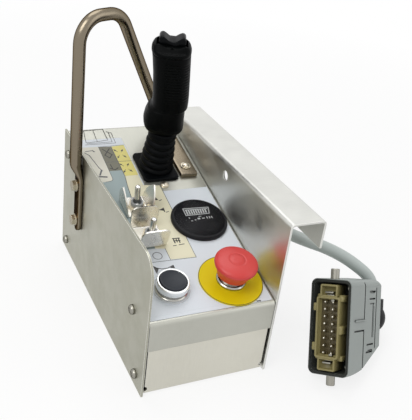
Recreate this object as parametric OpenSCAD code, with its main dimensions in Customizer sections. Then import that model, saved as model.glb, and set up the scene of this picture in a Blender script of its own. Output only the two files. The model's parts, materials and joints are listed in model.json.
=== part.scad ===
// Platform control box: a sprung joystick under a bent tube guard, guarded toggles, a stop
// button, a push button, a round meter, a rail hook and a short corded plug.
// Millimetres, X to the right, Y to the rear, Z up, origin at the centre of the underside.

/* [Box] */
// Width over the two side plates
box_w = 124; // [116:1:140]
// Depth from front to rear
box_d = 266; // [260:1:300]
// Height of the left side plate and of the panel's rear edge
side_h = 140; // [134:1:150]
// Height of the panel's front bend
front_h = 78; // [72:1:90]
// Thickness of the folded sheets
sheet_t = 2; // [1.5:0.1:2.5]
// Outer radius of the sheets' folds
fold_r = 4; // [3:0.1:6]
// Radius of the left plate's front top corner
corner_r = 20; // [8:1:30]
// Depth of the panel's front flange
front_flange_h = 28; // [20:1:32]
// Depth of the panel's side and rear flanges
side_flange_h = 30; // [27:1:32]
// Gap between a side plate and the sheets beside it
seam_gap = 0.5; // [0.3:0.1:1]
// Gap between the front wall and each side plate
slot_gap = 1.4; // [1:0.1:4]

/* [Rail hook] */
// Height of the hook's top face
hook_h = 158; // [154:1:170]
// Width of the hook's top face
hook_w = 34; // [28:1:45]
// Height of the hook's lip
lip_h = 28; // [20:1:34]
// Diameter of the hole in the right plate
lock_hole_d = 10; // [6:0.5:14]
// Distance of that hole's centre behind the box's middle
lock_hole_y = -9; // [-30:1:30]
// Depth of that hole's centre below the hook's top
lock_hole_drop = 15; // [12:1:18]

/* [Tube guard] */
// Diameter of the guard's tube
tube_d = 12; // [11:0.5:16]
// Height of the tube's centre line at the top
guard_h = 276; // [270:1:290]
// Length of the guard's level top bar between its corners
guard_top = 50; // [44:1:56]
// Bend radius of the tube's centre line
guard_bend_r = 25; // [20:1:28]
// Distance of the left leg behind the box's middle
guard_leg_y = 68; // [62:1:76]
// Thickness of the tube's flattened ends
flat_t = 4.5; // [3.5:0.1:6]
// Width of the tube's flattened ends
flat_w = 18; // [16:0.5:20]
// Distance between the two bolts of the left end
leg_bolt_pitch = 40; // [34:1:44]
// Distance between the two screws of the foot
foot_screw_pitch = 45; // [38:1:48]

/* [Joystick] */
// Joystick's centre, to the right of the box's middle
stick_x = 14.5; // [12:0.5:17]
// Joystick's centre, up the panel from its front bend
stick_s = 198; // [194:1:202]
// Height of the grip's top above the panel
stick_top = 143; // [134:1:150]
// Height of the grip's underside above the panel
grip_base = 49; // [45:1:52]
// Half width of the grip
grip_rx = 18.5; // [17:0.5:20]
// Half depth of the grip
grip_ry = 19.5; // [18:0.5:22]
// Diameter of the lever's shaft
lever_d = 10; // [8:0.5:11]
// Diameter of the lever's axle
axle_d = 6; // [5:0.5:7]
// Depth of the lever's axle below the panel
axle_drop = 14; // [12:1:18]
// Width of the boot's square flange
boot_w = 38; // [37:1:40]
// Length of the boot's square flange
boot_l = 46; // [44:1:48]

/* [Stop button] */
// Stop button's centre, to the right of the box's middle
stop_x = 29; // [28:0.5:30]
// Stop button's centre, up the panel from its front bend
stop_s = 33; // [32:0.5:38]
// Diameter of the round yellow plate
stop_plate_d = 60; // [56:1:60]
// Diameter of the mushroom head
stop_head_d = 40; // [36:1:42]
// Height of the mushroom head's top above the panel
stop_head_h = 28.5; // [27:0.5:32]
// Travel of the stop button
stop_travel = 4; // [3:0.5:5]

/* [Push button] */
// Push button's centre, to the left of the box's middle
push_x = 27; // [24:0.5:30]
// Push button's centre, up the panel from its front bend
push_s = 37; // [34:0.5:42]
// Diameter of the push button's bezel
push_d = 29.5; // [28:0.5:31]
// Height of the push button's bezel
push_h = 9; // [8.5:0.5:13]
// Travel of the push button
push_travel = 3; // [2:0.5:3.5]
// Diameter of the panel holes for both buttons
button_hole_d = 22.4; // [22:0.1:23]

/* [Meter] */
// Meter's centre, to the right of the box's middle
meter_x = 29.5; // [28:0.5:31]
// Meter's centre, up the panel from its front bend
meter_s = 112; // [108:1:116]
// Diameter of the meter's bezel
meter_d = 56; // [54:1:58]
// Diameter of the meter's case below the panel
meter_case_d = 51; // [48:0.5:52]
// Height of the meter's bezel
meter_h = 5; // [4:0.5:7]
// Depth of the meter's case below the panel
meter_depth = 44; // [30:1:50]

/* [Toggles] */
// Toggles' centre line, to the left of the box's middle
toggle_x = 25.5; // [24:0.5:27]
// Rear toggle's centre, up the panel from its front bend
toggle1_s = 141; // [138:1:146]
// Front toggle's centre, up the panel from its front bend
toggle2_s = 99; // [97:1:102]
// Distance between the ears of a toggle's guard
ear_gap = 22; // [20:1:24]
// Width of the rear guard's pointed ears
ear1_w = 27; // [22:1:28]
// Height of the rear guard's pointed ears
ear1_h = 27; // [20:1:28]
// Width of the front guard's square ears
ear2_w = 30; // [22:1:31]
// Height of the front guard's square ears
ear2_h = 22; // [16:1:26]
// Outward lean of a guard's ears
ear_lean = 8; // [0:1:12]
// Length of a toggle's lever above its bushing
toggle_len = 17; // [14:1:20]
// Swing of a toggle's lever to each side
toggle_swing = 13; // [8:1:14]

/* [Plug] */
// Width of the plug's face
plug_w = 40; // [38:1:44]
// Length of the plug's face
plug_l = 88; // [84:1:92]
// Depth of the plug's hood
plug_depth = 72; // [66:1:74]
// Wall of the hood
hood_wall = 2.5; // [2:0.1:3]
// Diameter of the locking pegs
peg_d = 8; // [6:0.5:9]
// Length of the locking pegs
peg_len = 9; // [6:0.5:9]
// Diameter of the cord
cord_d = 12.5; // [11:0.1:13]

/* [Hidden] */
$fn = 48;

// A small overlap that keeps cuts clear of the faces they cross
cut = 0.1;
panel_tilt = atan((side_h - front_h) / box_d);
panel_l = box_d / cos(panel_tilt);
inner_w = box_w - 2 * sheet_t - 2 * seam_gap;
tube_r = tube_d / 2;

silver = [0.75, 0.74, 0.70];
steel = [0.62, 0.60, 0.56];
black = [0.06, 0.06, 0.07];
cream = [0.90, 0.89, 0.80];
yellow = [0.93, 0.80, 0.20];
red = [0.78, 0.10, 0.12];
grey = [0.62, 0.65, 0.65];
khaki = [0.52, 0.47, 0.34];

// ---- Helpers ----

// Panel frame: x to the right, y up the panel from its front bend, z off its face
module on_panel(x, s, h = 0) {
    translate([0, -box_d / 2, front_h]) rotate([panel_tilt, 0, 0]) translate([x, s, h]) children();
}

// World position of a point given in the panel frame
function panel_point(x, s, h) = [
    x,
    -box_d / 2 + s * cos(panel_tilt) - h * sin(panel_tilt),
    front_h + s * sin(panel_tilt) + h * cos(panel_tilt)
];

// Flat plate with round corners, standing on z = 0
module round_plate(w, l, h, r) {
    linear_extrude(h) round_outline(w, l, r);
}

module round_outline(w, l, r) {
    square([w - 2 * r, l], center = true);
    square([w, l - 2 * r], center = true);
    for (x = [-1, 1], y = [-1, 1]) translate([x * (w / 2 - r), y * (l / 2 - r)]) circle(r);
}

function unit(v) = v / norm(v);
function turn_left(v) = [-v[1], v[0]];

// Corner b of the outline a-b-c replaced by an arc of radius r
function rounded(a, b, c, r, n = 6) =
    let (u = unit(a - b), v = unit(c - b), half = acos(u * v) / 2,
         centre = b + unit(u + v) * r / sin(half),
         s = b + u * r / tan(half) - centre, e = b + v * r / tan(half) - centre,
         turn = 180 - 2 * half, side = s[0] * e[1] - s[1] * e[0] > 0 ? 1 : -1)
    [for (i = [0:n]) let (t = side * turn * i / n)
        centre + [s[0] * cos(t) - s[1] * sin(t), s[0] * sin(t) + s[1] * cos(t)]];

function fold_line(p, r, n = 6) = [
    for (i = [0:len(p) - 1])
        each i == 0 || i == len(p) - 1 ? [p[i]] : rounded(p[i - 1], p[i], p[i + 1], r, n)
];

// The line p moved to its left by t
function beside(p, t) = [
    for (i = [0:len(p) - 1])
        let (u = i > 0 ? unit(p[i] - p[i - 1]) : unit(p[1] - p[0]),
             v = i < len(p) - 1 ? unit(p[i + 1] - p[i]) : u,
             m = unit(turn_left(u) + turn_left(v)))
        p[i] + m * t / (m * turn_left(u))
];

function reversed(p) = [for (i = [len(p) - 1:-1:0]) p[i]];

// Outline of a folded sheet: p is its outer face, with the metal on the left of the line,
// or on its right where t is negative
module folded_outline(p, t = sheet_t, r = fold_r) {
    polygon(concat(fold_line(p, r), reversed(fold_line(beside(p, t), r - abs(t)))));
}

// Extrudes a (y, z) outline along X, centred
module along_x(w) {
    translate([-w / 2, 0, 0]) rotate([90, 0, 90]) linear_extrude(w) children();
}

// Extrudes an (x, z) outline along Y, centred
module along_y(l) {
    translate([0, l / 2, 0]) rotate([90, 0, 0]) linear_extrude(l) children();
}

// Closed skin through rings of equal point count
module skin(rings) {
    n = len(rings[0]);
    m = len(rings);
    polyhedron(
        points = [for (ring = rings) each ring],
        faces = concat(
            [[for (i = [0:n - 1]) i]],
            [for (j = [0:m - 2], i = [0:n - 1], half = [0, 1])
                half == 0 ? [j * n + i, (j + 1) * n + i, (j + 1) * n + (i + 1) % n]
                          : [j * n + i, (j + 1) * n + (i + 1) % n, j * n + (i + 1) % n]],
            [[for (i = [n - 1:-1:0]) (m - 1) * n + i]]
        ),
        convexity = 4
    );
}

// Superellipse ring: half widths rx and ry, centre (cx, cy), height z
function ring(rx, ry, z, cx = 0, cy = 0, power = 2.6, n = 32) = [
    for (i = [0:n - 1])
        let (a = 360 * i / n, c = cos(a), s = sin(a))
        [cx + rx * sign(c) * pow(abs(c), 2 / power), cy + ry * sign(s) * pow(abs(s), 2 / power), z]
];

module hex_nut(across, h, bore) {
    difference() {
        cylinder(h = h, d = across / cos(30), $fn = 6);
        translate([0, 0, -cut]) cylinder(h = h + 2 * cut, d = bore, $fn = 32);
    }
}

// Hexagon bolt or pan screw: head above z = 0, shank below
module hex_bolt(d, len) {
    cylinder(h = 0.65 * d, d = 1.7 * d / cos(30), $fn = 6);
    translate([0, 0, -len]) cylinder(h = len + cut, d = d);
}

module pan_screw(d, len) {
    intersection() {
        cylinder(h = 0.55 * d, d = 1.9 * d);
        translate([0, 0, -1.05 * d]) sphere(r = 1.6 * d);
    }
    translate([0, 0, -len]) cylinder(h = len + cut, d = d);
}

// ---- Sheet metal box ----

// Side screws: distance from the front edge and height
side_screw_spots = [[35, 70], [18, 12], [box_d - 17, side_h - 22], [box_d - 17, 12]];
side_screw_d = 4;
screw_play = 0.4;
leg_bolt_d = 6;
leg_bolt_top = 106;
leg_bolt_spots = [[guard_leg_y, leg_bolt_top], [guard_leg_y, leg_bolt_top - leg_bolt_pitch]];

module side_holes(w) {
    for (p = side_screw_spots)
        translate([0, p[0] - box_d / 2, p[1]]) rotate([0, 90, 0])
            cylinder(h = w, d = side_screw_d + screw_play, center = true);
}

front_wall_top = front_h - front_flange_h + 12;
rear_wall_top = side_h - side_flange_h - seam_gap;
tray_w = inner_w - 2 * slot_gap;
tray_flange_h = 20;
relief_d = 5;

module base_tray() {
    color(silver) difference() {
        union() {
            along_x(tray_w) folded_outline([
                [-box_d / 2 + sheet_t, front_wall_top], [-box_d / 2 + sheet_t, 0],
                [box_d / 2, 0], [box_d / 2, rear_wall_top],
            ]);
            for (m = [0, 1]) mirror([m, 0, 0]) along_y(box_d - 4 * fold_r) folded_outline([
                [tray_w / 2 - fold_r, 0], [inner_w / 2, 0], [inner_w / 2, tray_flange_h],
            ]);
        }
        side_holes(box_w);
        for (x = [-1, 1]) translate([x * tray_w / 2, -box_d / 2, fold_r + relief_d / 2])
            rotate([90, 0, 0]) cylinder(h = 4 * fold_r, d = relief_d, center = true);
    }
}

module left_side_plate() {
    color(silver) difference() {
        translate([-box_w / 2, 0, 0]) rotate([90, 0, 90]) linear_extrude(sheet_t) side_outline();
        side_holes(2 * box_w);
        leg_bolt_holes();
    }
}

module leg_bolt_holes() {
    for (p = leg_bolt_spots) translate([-box_w / 2, p[0], p[1]]) rotate([0, 90, 0])
        cylinder(h = 6 * sheet_t, d = leg_bolt_d + screw_play, center = true);
}

module side_outline() {
    difference() {
        translate([-box_d / 2, 0]) square([box_d, side_h]);
        translate([-box_d / 2 - cut, side_h - corner_r]) square([corner_r + cut, corner_r + cut]);
    }
    translate([-box_d / 2 + corner_r, side_h - corner_r]) intersection() {
        circle(corner_r, $fn = 96);
        translate([-corner_r, 0]) square(corner_r);
    }
}

gland_y = 12;
gland_z = 62;
gland_d = 20;

module right_side_plate() {
    color(silver) difference() {
        along_y(box_d) folded_outline([
            [box_w / 2 - sheet_t, 0], [box_w / 2 - sheet_t, hook_h],
            [box_w / 2 + hook_w, hook_h], [box_w / 2 + hook_w, hook_h - lip_h],
        ], -sheet_t);
        side_holes(2 * box_w);
        translate([box_w / 2, lock_hole_y, hook_h - lock_hole_drop]) rotate([0, 90, 0])
            cylinder(h = 6 * sheet_t, d = lock_hole_d, center = true);
        translate([box_w / 2, gland_y, gland_z]) rotate([0, 90, 0])
            cylinder(h = 6 * sheet_t, d = gland_d + screw_play, center = true);
    }
}

// ---- Control panel ----

overlay_t = 0.4;
foot_x = 45;
foot_mid_s = 213;
foot_screw_d = 4;
housing_screw_reach = boot_l / 2 + 6;
module control_panel() {
    color(silver) difference() {
        union() {
            along_x(inner_w) folded_outline([
                [-box_d / 2, front_h - front_flange_h], [-box_d / 2, front_h],
                [box_d / 2, side_h], [box_d / 2, side_h - side_flange_h],
            ], -sheet_t);
            for (m = [0, 1]) mirror([m, 0, 0])
                on_panel(inner_w / 2 - sheet_t, 2 * fold_r, -side_flange_h)
                    cube([sheet_t, panel_l - 4 * fold_r, side_flange_h - sheet_t / 2]);
        }
        side_holes(box_w);
        leg_bolt_holes();
        panel_holes();
    }
}

module panel_hole(x, s, d) {
    on_panel(x, s) cylinder(h = 6 * sheet_t, d = d, center = true);
}

module panel_holes(play = 0) {
    panel_hole(stick_x, stick_s, boot_w - 8 + play);
    panel_hole(stop_x, stop_s, button_hole_d + play);
    panel_hole(-push_x, push_s, button_hole_d + play);
    panel_hole(meter_x, meter_s, meter_case_d + 0.6 + play);
    for (s = [toggle1_s, toggle2_s]) panel_hole(-toggle_x, s, bushing_d + screw_play + play);
    for (m = [-1, 1])
        panel_hole(foot_x, foot_mid_s + m * foot_screw_pitch / 2, foot_screw_d + screw_play);
    for (m = [-1, 1])
        panel_hole(stick_x, stick_s + m * housing_screw_reach, foot_screw_d + screw_play);
}

overlay_edge = 1.5;
overlay_l = panel_l - 22;
bare_front_s = 160;
bare_left_x = -6.5;

module panel_overlay() {
    color(cream) difference() {
        on_panel(0, 0) linear_extrude(overlay_t) difference() {
            translate([-inner_w / 2 + overlay_edge, 2 * fold_r])
                square([inner_w - 2 * overlay_edge, overlay_l - 2 * fold_r]);
            translate([bare_left_x + corner_r / 2, bare_front_s]) square([inner_w, overlay_l]);
            translate([bare_left_x, bare_front_s + corner_r / 2]) square([inner_w, overlay_l]);
            translate([bare_left_x + corner_r / 2, bare_front_s + corner_r / 2])
                circle(corner_r / 2);
        }
        panel_holes(1);
    }
}

module side_screws() {
    color(steel) for (m = [0, 1], p = side_screw_spots) mirror([m, 0, 0])
        translate([-box_w / 2, p[0] - box_d / 2, p[1]]) rotate([0, -90, 0])
            pan_screw(side_screw_d, 2 * sheet_t + seam_gap + 3);
}

// ---- Tube guard ----

guard_start = [-box_w / 2 - tube_r - 0.3, guard_leg_y, leg_bolt_top + 26];
guard_foot = panel_point(foot_x, 262, tube_r);
guard_run = unit([guard_foot[0] - guard_start[0], guard_foot[1] - guard_start[1], 0]);
guard_reach = norm([guard_foot[0] - guard_start[0], guard_foot[1] - guard_start[1]]);
leg_fall = unit([guard_reach - guard_top, guard_foot[2] - guard_h]);

// Centre line of the bent tube in its upright plane: distance from the left leg, and height
guard_line = fold_line([
    [0, guard_start[2]], [0, guard_h], [guard_top, guard_h],
    [guard_reach, guard_foot[2]] - leg_fall * 14,
], guard_bend_r, 8);

// Oval ring around the point c, square to the direction t: half width ra along across, rb beside it
function tube_ring(c, t, across, ra, rb, power = 2, n = 32) =
    let (a = unit(across - t * (across * t)), b = cross(t, a))
    [for (i = [0:n - 1])
        let (x = cos(360 * i / n), y = sin(360 * i / n))
        c + a * (ra * sign(x) * pow(abs(x), 2 / power)) + b * (rb * sign(y) * pow(abs(y), 2 / power))];

// Flattened left end: height above its lower end, half width, half thickness, power
leg_end = [
    [0.3, 3, flat_t / 2, 3], [1.6, 5.4, flat_t / 2, 3], [4, 7.6, flat_t / 2, 4],
    [9, flat_w / 2, flat_t / 2, 5], [60, flat_w / 2, flat_t / 2, 5],
    [66, flat_w / 2 - 0.7, flat_t / 2 + 1.6, 3], [72, flat_w / 2 - 1.6, tube_r - 1, 2.2],
];
leg_low = leg_bolt_spots[1][1] - 12;

function leg_rings() = [
    for (e = leg_end)
        tube_ring([-box_w / 2 - e[2] - (e[2] > flat_t / 2 ? 0.3 : 0), guard_leg_y, leg_low + e[0]],
            [0, 0, 1], [0, -1, 0], e[1], e[2], e[3])
];

function guard_rings() = [
    for (i = [0:len(guard_line) - 1])
        let (q = guard_line[i], last = len(guard_line) - 1,
             t = unit(guard_line[min(i + 1, last)] - guard_line[max(i - 1, 0)]))
        tube_ring([guard_start[0], guard_start[1], 0] + guard_run * q[0] + [0, 0, q[1]],
            guard_run * t[0] + [0, 0, t[1]], [guard_run[1], -guard_run[0], 0], tube_r, tube_r)
];

// Flattened foot: distance up the panel, height, half thickness, half width, power
foot_front_s = foot_mid_s - foot_screw_pitch / 2 - 12;
foot_end = [
    [252, 3.8, 3.6, flat_w / 2 - 1.2, 2.6], [244, flat_t / 2, flat_t / 2, flat_w / 2 - 1, 5],
    [foot_front_s + 3, flat_t / 2, flat_t / 2, flat_w / 2 - 1, 5],
    [foot_front_s, flat_t / 2, flat_t / 2 - 0.3, flat_w / 2 - 2.5, 5],
];

function foot_rings() =
    let (fall = guard_run * leg_fall[0] + [0, 0, leg_fall[1]],
         up = [0, -sin(panel_tilt), cos(panel_tilt)], on = [0, -cos(panel_tilt), -sin(panel_tilt)])
    concat(
        [tube_ring(panel_point(foot_x, 260, 9), unit(fall + on), [guard_run[1], -guard_run[0], 0] + up,
            tube_r - 1.4, tube_r + 0.4, 2.2)],
        [for (e = foot_end)
            tube_ring(panel_point(foot_x, e[0], e[1]), on, up, e[2], e[3], e[4])]
    );

// Drawn as a solid rod with flattened ends
module handle_tube() {
    color(steel) difference() {
        skin(concat(leg_rings(), guard_rings(), foot_rings()));
        leg_bolt_holes();
        for (m = [-1, 1])
            panel_hole(foot_x, foot_mid_s + m * foot_screw_pitch / 2, foot_screw_d + screw_play);
    }
}

module handle_bolts() {
    color(steel) for (p = leg_bolt_spots)
        translate([-box_w / 2 - flat_t, p[0], p[1]]) rotate([0, -90, 0]) {
            cylinder(h = 1.2, d = 2.1 * leg_bolt_d);
            translate([0, 0, 1.2]) hex_bolt(leg_bolt_d, flat_t + sheet_t + 9);
        }
}

// The upper bolt also passes through the panel's side flange
module handle_nuts() {
    stacks = [2 * sheet_t + seam_gap, sheet_t];
    color(steel) for (i = [0, 1])
        translate([-box_w / 2 + stacks[i], leg_bolt_spots[i][0], leg_bolt_spots[i][1]])
            rotate([0, 90, 0]) hex_nut(10, 5, leg_bolt_d);
}

module foot_spots() {
    for (m = [-1, 1]) on_panel(foot_x, foot_mid_s + m * foot_screw_pitch / 2) children();
}

module foot_screws() {
    color(steel) foot_spots() translate([0, 0, flat_t]) {
        cylinder(h = 1, d = 2.6 * foot_screw_d);
        translate([0, 0, 1]) pan_screw(foot_screw_d, flat_t + sheet_t + 6);
    }
}

module foot_nuts() {
    color(steel) foot_spots() translate([0, 0, -sheet_t - 3.2]) hex_nut(7, 3.2, foot_screw_d);
}

// ---- Joystick ----

boot_flange_h = 3;
boot_r = boot_w / 2 - 2.2;
boot_neck_r = 13.5;
boot_flare = 1.4;
boot_wall = 1.4;
boot_folds = 5;
boot_top = grip_base - 1.5;
running_play = 0.08;
grip_back = 5;
grip_side = 3;
grip_turn = 22;

module on_axle() {
    on_panel(stick_x, stick_s, -axle_drop) children();
}

module boot_flange() {
    color(black) on_panel(stick_x, stick_s) difference() {
        round_plate(boot_w, boot_l, boot_flange_h, 5);
        translate([0, 0, -cut]) cylinder(h = boot_flange_h + 2 * cut, r = boot_r + 0.2);
    }
}

// Bellows outline: crests and grooves that narrow towards the neck
function boot_line(inset, first) = [
    for (i = [first:2 * boot_folds])
        let (k = i / (2 * boot_folds), foot_r = boot_r + boot_flare,
             r = foot_r + (boot_neck_r - foot_r) * k - (i % 2 == 1 ? 2.2 : 0))
        [r - inset, boot_flange_h + 0.3 + (boot_top - boot_flange_h - 4) * k]
];

module rubber_boot() {
    color(black) on_panel(stick_x, stick_s) rotate_extrude()
        polygon(concat(
            [[boot_r, 0], [boot_r, boot_flange_h + 0.3]], boot_line(0, 0),
            [[boot_neck_r, boot_top], [lever_d / 2 + 0.1, boot_top]],
            [[lever_d / 2 + 0.1, boot_top - 3], [boot_neck_r - boot_wall, boot_top - 3.5]],
            reversed(boot_line(boot_wall, 1)),
            [[boot_r - boot_wall, boot_flange_h], [boot_r - boot_wall, 0]]
        ));
}

module housing_screws() {
    color(steel) for (m = [-1, 1]) on_panel(stick_x, stick_s + m * housing_screw_reach) {
        cylinder(h = 0.8, d = 2.2 * foot_screw_d);
        translate([0, 0, 0.8]) pan_screw(foot_screw_d, sheet_t + 4);
    }
}

housing_l = 52;
housing_w = 40;
housing_depth = 56;
housing_wall = 3;

module joystick_housing() {
    color([0.12, 0.12, 0.13]) on_panel(stick_x, stick_s, -sheet_t) difference() {
        union() {
            translate([-housing_w / 2, -housing_l / 2, -housing_depth])
                cube([housing_w, housing_l, housing_depth]);
            translate([-housing_w / 2, -housing_screw_reach - 6, -housing_wall])
                cube([housing_w, 2 * housing_screw_reach + 12, housing_wall]);
        }
        translate([-housing_w / 2 + housing_wall, -housing_l / 2 + housing_wall,
            housing_wall - housing_depth])
            cube([housing_w - 2 * housing_wall, housing_l - 2 * housing_wall, housing_depth]);
        translate([0, 0, sheet_t - axle_drop]) rotate([0, 90, 0])
            cylinder(h = 2 * housing_w, d = axle_d, center = true);
        for (m = [-1, 1]) translate([0, m * housing_screw_reach, 0])
            cylinder(h = 3 * housing_wall, d = foot_screw_d, center = true);
    }
}

module lever_axle() {
    color(steel) on_axle() rotate([0, 90, 0]) cylinder(h = housing_w, d = axle_d, center = true);
}

hub_d = 15;
lever_tail = 26;
// Length of the lever above its axle
lever_up = axle_drop + grip_base + 50;
spring_r = 7;

module lever_shaft() {
    color(steel) on_axle() difference() {
        union() {
            translate([0, 0, -lever_tail])
                cylinder(h = lever_up + lever_tail, d = lever_d);
            rotate([0, 90, 0]) cylinder(h = 20, d = hub_d, center = true);
            translate([0, 0, -lever_tail - 2]) cylinder(h = 2, r = spring_r + 1.5);
        }
        rotate([0, 90, 0]) cylinder(h = 30, d = axle_d + running_play, center = true);
    }
}

// Coil of round wire between two heights
module coil(r, wire, low, high, turns, steps = 14) {
    count = turns * steps;
    skin([
        for (i = [0:count])
            let (a = -360 * i / steps, z = low + wire + (high - low - 2 * wire) * i / count)
            [for (j = [0:5]) let (b = 60 * j)
                [(r + wire * cos(b)) * cos(a), (r + wire * cos(b)) * sin(a), z + wire * sin(b)]]
    ]);
}

module centring_spring() {
    color(steel) on_axle()
        coil(spring_r, 0.8, -lever_tail, -hub_d / 2 - 0.5, 5);
}

module in_grip(z = 0) {
    on_panel(stick_x, stick_s, grip_base) rotate([-grip_back, 0, 0]) rotate([0, -grip_side, 0])
        rotate([0, 0, -grip_turn]) translate([0, 0, z]) children();
}

grip_h = stick_top - grip_base;
cap_h = 9;
body_h = grip_h - cap_h;
trigger_w = 13;
trigger_low = 26;
trigger_high = 74;
trigger_pin_d = 2.5;
trigger_pin_y = grip_ry - 8;
rocker_pin_d = 3;
rocker_z = grip_h - 2.5;
rocker_l = 14;
rocker_half = 12.5;

// Grip outline from its underside up: share of the height, width and depth factors, offsets
grip_stations = [
    [0, 0.74, 0.74, -2, 0], [0.025, 0.90, 0.90, -3, 0], [0.07, 1.00, 1.02, -3.8, 0.3],
    [0.15, 1.04, 1.05, -4.2, 0.6], [0.24, 1.03, 1.03, -3.9, 0.4], [0.30, 1.00, 1.00, -3.2, 0.2],
    [0.335, 0.95, 0.97, -0.8, 0], [0.50, 0.94, 0.95, 0, -0.3], [0.75, 0.96, 0.97, 0, 0],
    [1, 0.99, 1.00, 0, 0],
];

module grip_body() {
    color(black) difference() {
        in_grip() skin([for (g = grip_stations)
            ring(grip_rx * g[1], grip_ry * g[2], body_h * g[0], g[3], g[4])]);
        on_axle() cylinder(h = lever_up + 1, d = lever_d + 0.2);
        in_grip() translate([-trigger_w / 2, grip_ry - 13, trigger_low])
            cube([trigger_w, 30, trigger_high - trigger_low + 6]);
        in_grip(trigger_high) translate([0, trigger_pin_y, 0]) rotate([0, 90, 0])
            cylinder(h = trigger_w + 12, d = trigger_pin_d, center = true);
    }
}

cap_stations = [[0, 1.01, 1.01], [0.4, 1.02, 1.02], [0.75, 0.95, 0.93], [1, 0.80, 0.74]];

module grip_cap() {
    color(black) in_grip() difference() {
        skin([for (g = cap_stations)
            ring(grip_rx * g[1], grip_ry * g[2], body_h + cap_h * g[0], 0, 0)]);
        translate([-rocker_half - 2, -rocker_l / 2 - 0.5, grip_h - 11])
            cube([2 * rocker_half + 4, rocker_l + 1, 20]);
        translate([0, 0, rocker_z]) rotate([90, 0, 0])
            cylinder(h = rocker_l + 10, d = rocker_pin_d, center = true);
    }
}

module thumb_rocker() {
    color(black) in_grip(rocker_z) rotate([90, 0, 0]) difference() {
        union() {
            cylinder(h = rocker_l, r = 4.5, center = true);
            translate([0, 0, -rocker_l / 2]) linear_extrude(rocker_l) polygon([
                [-rocker_half, 1], [-rocker_half, 7.5], [-rocker_half + 3, 9.5], [-2, 5], [2, 5],
                [rocker_half - 3, 9.5], [rocker_half, 7.5], [rocker_half, 1], [5, -2], [-5, -2],
            ]);
        }
        cylinder(h = rocker_l + 2, d = rocker_pin_d + running_play, center = true);
    }
}

module rocker_pin() {
    color(steel) in_grip(rocker_z) rotate([90, 0, 0])
        cylinder(h = rocker_l + 10, d = rocker_pin_d, center = true);
}

trigger_play = 0.4;

module grip_trigger() {
    color(black) in_grip(trigger_high) translate([0, trigger_pin_y, 0]) rotate([90, 0, 90])
        difference() {
            union() {
                cylinder(h = trigger_w - 2 * trigger_play, r = 3.5, center = true);
                translate([0, 0, -trigger_w / 2 + trigger_play])
                    linear_extrude(trigger_w - 2 * trigger_play) polygon([
                        [-2, 3], [6, 4], [9, 0], [10.5, -12], [10, -26],
                        [12, -40], [8, -46], [5, -44], [4, -26], [3, -8], [-2, -3],
                    ]);
            }
            cylinder(h = trigger_w, d = trigger_pin_d + running_play, center = true);
        }
}

module trigger_pin() {
    color(steel) in_grip(trigger_high) translate([0, trigger_pin_y, 0]) rotate([0, 90, 0])
        cylinder(h = trigger_w + 12, d = trigger_pin_d, center = true);
}

module trigger_switch() {
    color([0.15, 0.15, 0.2]) in_grip(trigger_low + 12)
        translate([-4, grip_ry - 13, 0]) cube([8, 5, 12]);
}

// ---- Meter ----

bezel_seat = overlay_t;

module meter_case() {
    color(black) on_panel(meter_x, meter_s) rotate_extrude($fn = 72) polygon([
        [0, -meter_depth], [meter_case_d / 2 - 1, -meter_depth],
        [meter_case_d / 2, -meter_depth + 1], [meter_case_d / 2, bezel_seat],
        [meter_d / 2, bezel_seat], [meter_d / 2, meter_h - 1.6], [meter_d / 2 - 1.6, meter_h],
        [meter_d / 2 - 4, meter_h], [meter_d / 2 - 4, 3], [meter_d / 2 - 5, 3],
        [meter_d / 2 - 5, 1.5], [0, 1.5],
    ]);
}

module meter_dial() {
    color([0.1, 0.1, 0.12]) on_panel(meter_x, meter_s, 1.5)
        cylinder(h = 0.6, r = meter_d / 2 - 5);
}

module meter_lens() {
    color([0.7, 0.75, 0.8, 0.3]) on_panel(meter_x, meter_s, 3)
        cylinder(h = 1.2, r = meter_d / 2 - 4);
}

module meter_ring() {
    color(black) on_panel(meter_x, meter_s, -sheet_t - 7) difference() {
        cylinder(h = 7, d = meter_case_d + 4);
        translate([0, 0, -cut]) cylinder(h = 7 + 2 * cut, d = meter_case_d);
    }
}

// ---- Stop button ----

stop_stem_d = 9;
sleeve_d = 22;
sleeve_l = 16;
collar_h = 4.5;

module stop_plate() {
    color(yellow) on_panel(stop_x, stop_s, overlay_t) difference() {
        cylinder(h = 1, d = stop_plate_d, $fn = 96);
        translate([0, 0, -cut]) cylinder(h = 1 + 2 * cut, d = button_hole_d);
    }
}

module stop_collar() {
    color([0.8, 0.8, 0.8]) on_panel(stop_x, stop_s) rotate_extrude() polygon([
        [stop_stem_d / 2 + running_play / 2, -sheet_t - sleeve_l], [sleeve_d / 2, -sheet_t - sleeve_l],
        [sleeve_d / 2, overlay_t + 1], [13.8, overlay_t + 1], [13.8, collar_h - 1],
        [12.8, collar_h], [10.5, collar_h], [10.5, collar_h + 2],
        [stop_stem_d / 2 + running_play / 2, collar_h + 2],
    ]);
}

module stop_head() {
    r = stop_head_d / 2;
    h = stop_head_h;
    color(red) on_panel(stop_x, stop_s) rotate_extrude($fn = 96) polygon([
        [0, h], [r * 0.5, h - 0.4], [r * 0.78, h - 1.5], [r * 0.93, h - 3.2], [r, h - 6],
        [r - 0.6, h - 8.5], [r * 0.84, h - 11.5], [r * 0.73, h - 16], [r * 0.70, h - 18.5],
        [11.3, h - 18.5], [11.3, h - 12], [stop_stem_d / 2 + running_play / 2, h - 12],
        [stop_stem_d / 2 + running_play / 2, h - 6], [0, h - 6],
    ]);
}

module stop_stem() {
    color(steel) on_panel(stop_x, stop_s) {
        translate([0, 0, -sheet_t - sleeve_l - 2])
            cylinder(h = stop_head_h - 6.1 + sheet_t + sleeve_l + 2, d = stop_stem_d);
    }
}

module ring_nut(x, s) {
    on_panel(x, s, -sheet_t - 5) difference() {
        cylinder(h = 5, d = sleeve_d + 8, $fn = 8);
        translate([0, 0, -cut]) cylinder(h = 5 + 2 * cut, d = sleeve_d);
    }
}

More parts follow.
